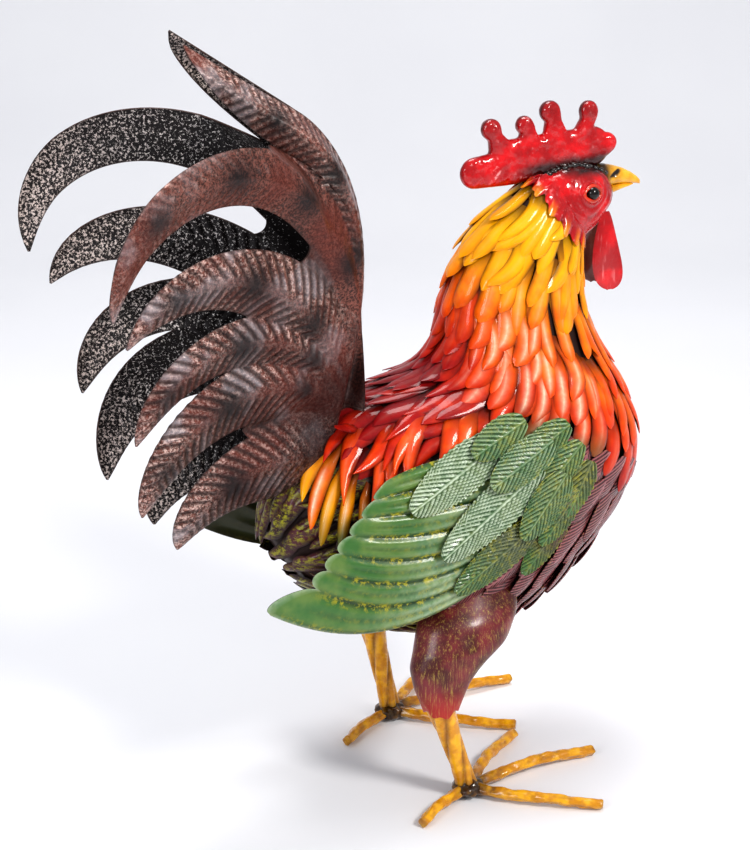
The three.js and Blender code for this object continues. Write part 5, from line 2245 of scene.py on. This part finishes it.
@dataclass
class Studio:
    """The pale paper floor, the soft lights and the camera."""

    placing: Placing
    azimuth: float = -25.0
    elevation: float = 20.0
    distance_mm: float = 1750.0
    focal_px: float = 2000.0
    photo: tuple[float, float] = (750.0, 850.0)
    # Where the bird's own origin lies in the photo.
    origin_px: tuple[float, float] = (429.0, 751.0)
    sensor_mm: float = 36.0
    # Name, place, size, watts and tint of each lamp.
    lamps: tuple = (
        ("key_softbox", (0.75, -1.7, 1.8), 0.5, 33.0, (1.0, 0.98, 0.95)),
        ("fill_softbox", (-1.9, -1.1, 1.2), 0.7, 13.0, (0.95, 0.97, 1.0)),
        ("top_softbox", (0.1, 0.4, 2.4), 0.9, 25.0, (1.0, 1.0, 1.0)),
    )

    def floor(self) -> Piece:
        """Builds the paper sweep: a floor that curves up far behind the bird.

        Returns:
            The paper.
        """
        mesh = bpy.data.meshes.new("paper")
        rows, size = [], 6.0
        for share in np.linspace(0, 1, 40):
            turn = share * math.pi / 2
            rows.append((1.6 + 1.2 * math.sin(turn), 1.2 * (1 - math.cos(turn))))
        rows = [(-3.0, 0.0), *rows, (2.8, 5.0)]
        a = math.radians(self.azimuth)
        forward = Vector((-math.sin(a), math.cos(a), 0))
        right = Vector((math.cos(a), math.sin(a), 0))
        points = [tuple(forward * d + right * s * size + Vector((0, 0, h))) for d, h in rows for s in (-1, 1)]
        faces = [(2 * i, 2 * i + 1, 2 * i + 3, 2 * i + 2) for i in range(len(rows) - 1)]
        mesh.from_pydata(points, [], faces)
        mesh.shade_smooth()
        made = link_new("paper", mesh)
        s = Shader("matt_white_paper")
        # Plain paper that keeps the bird's soft shadow.
        colour = s.mix("ececef", "e4e4e8", s.span(s.noise(400, 2), 0.3, 0.7, 0.0, 0.4))
        mesh.materials.append(s.surface(colour, 0.85))
        return made

    def lamp(self, name: str, place: tuple, size: float, power: float, tint: tuple) -> None:
        """Adds one soft square lamp that looks at the bird.

        Args:
            name: Its name.
            place: Metres.
            size: Length of a side in metres.
            power: Watts.
            tint: Its colour.
        """
        light = bpy.data.lights.new(name, "AREA")
        light.shape, light.size, light.energy, light.color = "SQUARE", size, power, tint
        made = link_new(name, light)
        made.location = place
        made.rotation_euler = (Vector((0, 0, 0.28)) - Vector(place)).to_track_quat("-Z", "Y").to_euler()

    def lights(self) -> None:
        """Adds the lamps and the pale surround."""
        for row in self.lamps:
            self.lamp(*row)
        world = bpy.data.worlds.new("studio_surround")
        world.use_nodes = True
        back = world.node_tree.nodes["Background"]
        back.inputs["Color"].default_value = linear("eef0f4")
        back.inputs["Strength"].default_value = 0.54
        bpy.context.scene.world = world
        bpy.context.scene.view_settings.view_transform = "Standard"
        bpy.context.scene.view_settings.look = "Medium High Contrast"

    def camera(self) -> Piece:
        """Places the camera where the photo was taken from.

        Returns:
            The camera.
        """
        a, e = math.radians(self.azimuth), math.radians(self.elevation)
        right = Vector((math.cos(a), math.sin(a), 0))
        back = Vector((math.sin(a) * math.cos(e), -math.cos(a) * math.cos(e), math.sin(e)))
        up = back.cross(right)
        scale = self.distance_mm / self.focal_px
        off_x, off_y = ((self.origin_px[i] - self.photo[i] / 2) * scale * way for i, way in ((0, 1), (1, -1)))
        place = back * self.distance_mm - right * off_x - up * off_y
        data = bpy.data.cameras.new("camera")
        data.sensor_width = self.sensor_mm
        data.lens = self.focal_px / max(self.photo) * self.sensor_mm
        data.dof.use_dof = False
        made = link_new("camera", data)
        made.location = Vector(self.placing.metres(np.array(place)))
        made.rotation_euler = (-back).to_track_quat("-Z", "Y").to_euler()
        bpy.context.scene.camera = made
        return made


def settle(piece: Piece, nodes: Sequence[str]) -> None:
    """Hands a finished piece to the frame.

    Args:
        piece: The object.
        nodes: The solids it stands for.
    """
    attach(piece, "root")
    if nodes:
        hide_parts(*nodes)
    LOG.info("%s: %d vertices for %s", piece.name, len(piece.data.vertices), ", ".join(nodes) or "no solid")


def main() -> None:
    """Builds the bird class by class, then the studio."""
    logging.basicConfig(level=logging.INFO, format="%(name)s %(message)s")
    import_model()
    placing = Placing.from_ankle()
    body = BodyForm()

    enamel = FeatherEnamel().build()
    plum = PlumEnamel("ochre_dragged_plum_enamel").build()
    rose = PlumEnamel("brushed_rose_plum_enamel", deep="6a2430", plum="94404c", drag="b98a5a", barb_mm=4.6)
    red = RedEnamel("hammered_red_enamel").build()
    green = GreenEnamel("brushed_green_enamel").build()
    gold = OchrePaint("shaded_golden_enamel").build()
    # Painted shade: the core is painted dark, so the gaps between the fingers read as shade.
    core_shade_paint = PlainPaint("dark_core_shade_paint", "2a1410", 0.6).build()

    plumage = Plumage(body, placing)
    settle(plumage.core(core_shade_paint), ["body_shell"])
    settle(plumage.hackle(enamel), [f"hackle_strip_{i}" for i in range(1, 6)])
    settle(plumage.saddle(enamel), [f"saddle_strip_{i}" for i in range(1, 5)])
    settle(plumage.rump(RumpEnamel().build()), [f"rump_strip_{i}" for i in range(1, 4)])
    settle(BreastPlates(body, placing).build(rose.build()), [f"breast_row_{i}" for i in range(1, 5)])

    for side in Side:
        wing = Wing(side, placing)
        settle(wing.pan(green), [f"wing_pan_{side}"])
        for number, plate in enumerate(wing.plates, 1):
            settle(wing.cover(green, number, (plate,)), [f"covert_{side}_{number}"])
        settle(wing.cover(green, 6, wing.extra), [])

    copper, black = CopperSpeckle().build(), BlackSpeckle().build()
    for side in Side:
        settle(TailFan(side, placing).build(copper, black), [f"tail_fan_{side}"])

    head = Head(placing)
    settle(head.face(red), ["head"])
    settle(head.frill(body, red), [])
    settle(head.comb(red), ["comb"])
    settle(head.weld_row(PlainPaint("blackened_weld", "0c0707", 0.15, 1.0).build()), [])
    satin = RedEnamel("streaked_red_enamel", streaks=True, dents_mm=0.1).build()
    bead = PlainPaint("black_glass_bead", "040303", 0.12, 0.3, 0.0).build()
    rim = PlainPaint("orange_red_rim_enamel", "d2361a", 0.2, 0.8).build()
    for side in Side:
        settle(head.wattle(side, satin), [f"wattle_{side}"])
        settle(head.eyeball(side, bead), [f"eye_{side}"])
        settle(head.lids(side, rim), [])
    beak_paint = OchrePaint("yellow_beak_enamel", ochre="dc9a18", bright="eeb02c").build()
    settle(head.beak(True, beak_paint), ["beak_upper"])
    settle(head.beak(False, beak_paint), ["beak_lower"])

    for side in Side:
        leg = Leg(side, placing)
        for toe in leg.toes:
            settle(leg.toe(*toe, gold), [f"toe_{toe[0]}_{side}"])
        settle(leg.weld(gold), [f"ankle_weld_{side}"])
        settle(leg.shank(gold), [f"shank_{side}"])
        settle(leg.thigh(plum), [f"thigh_{side}"])

    studio = Studio(placing)
    studio.floor()
    studio.lights()
    studio.camera()
    bpy.context.view_layer.update()


if __name__ == "__main__":
    main()
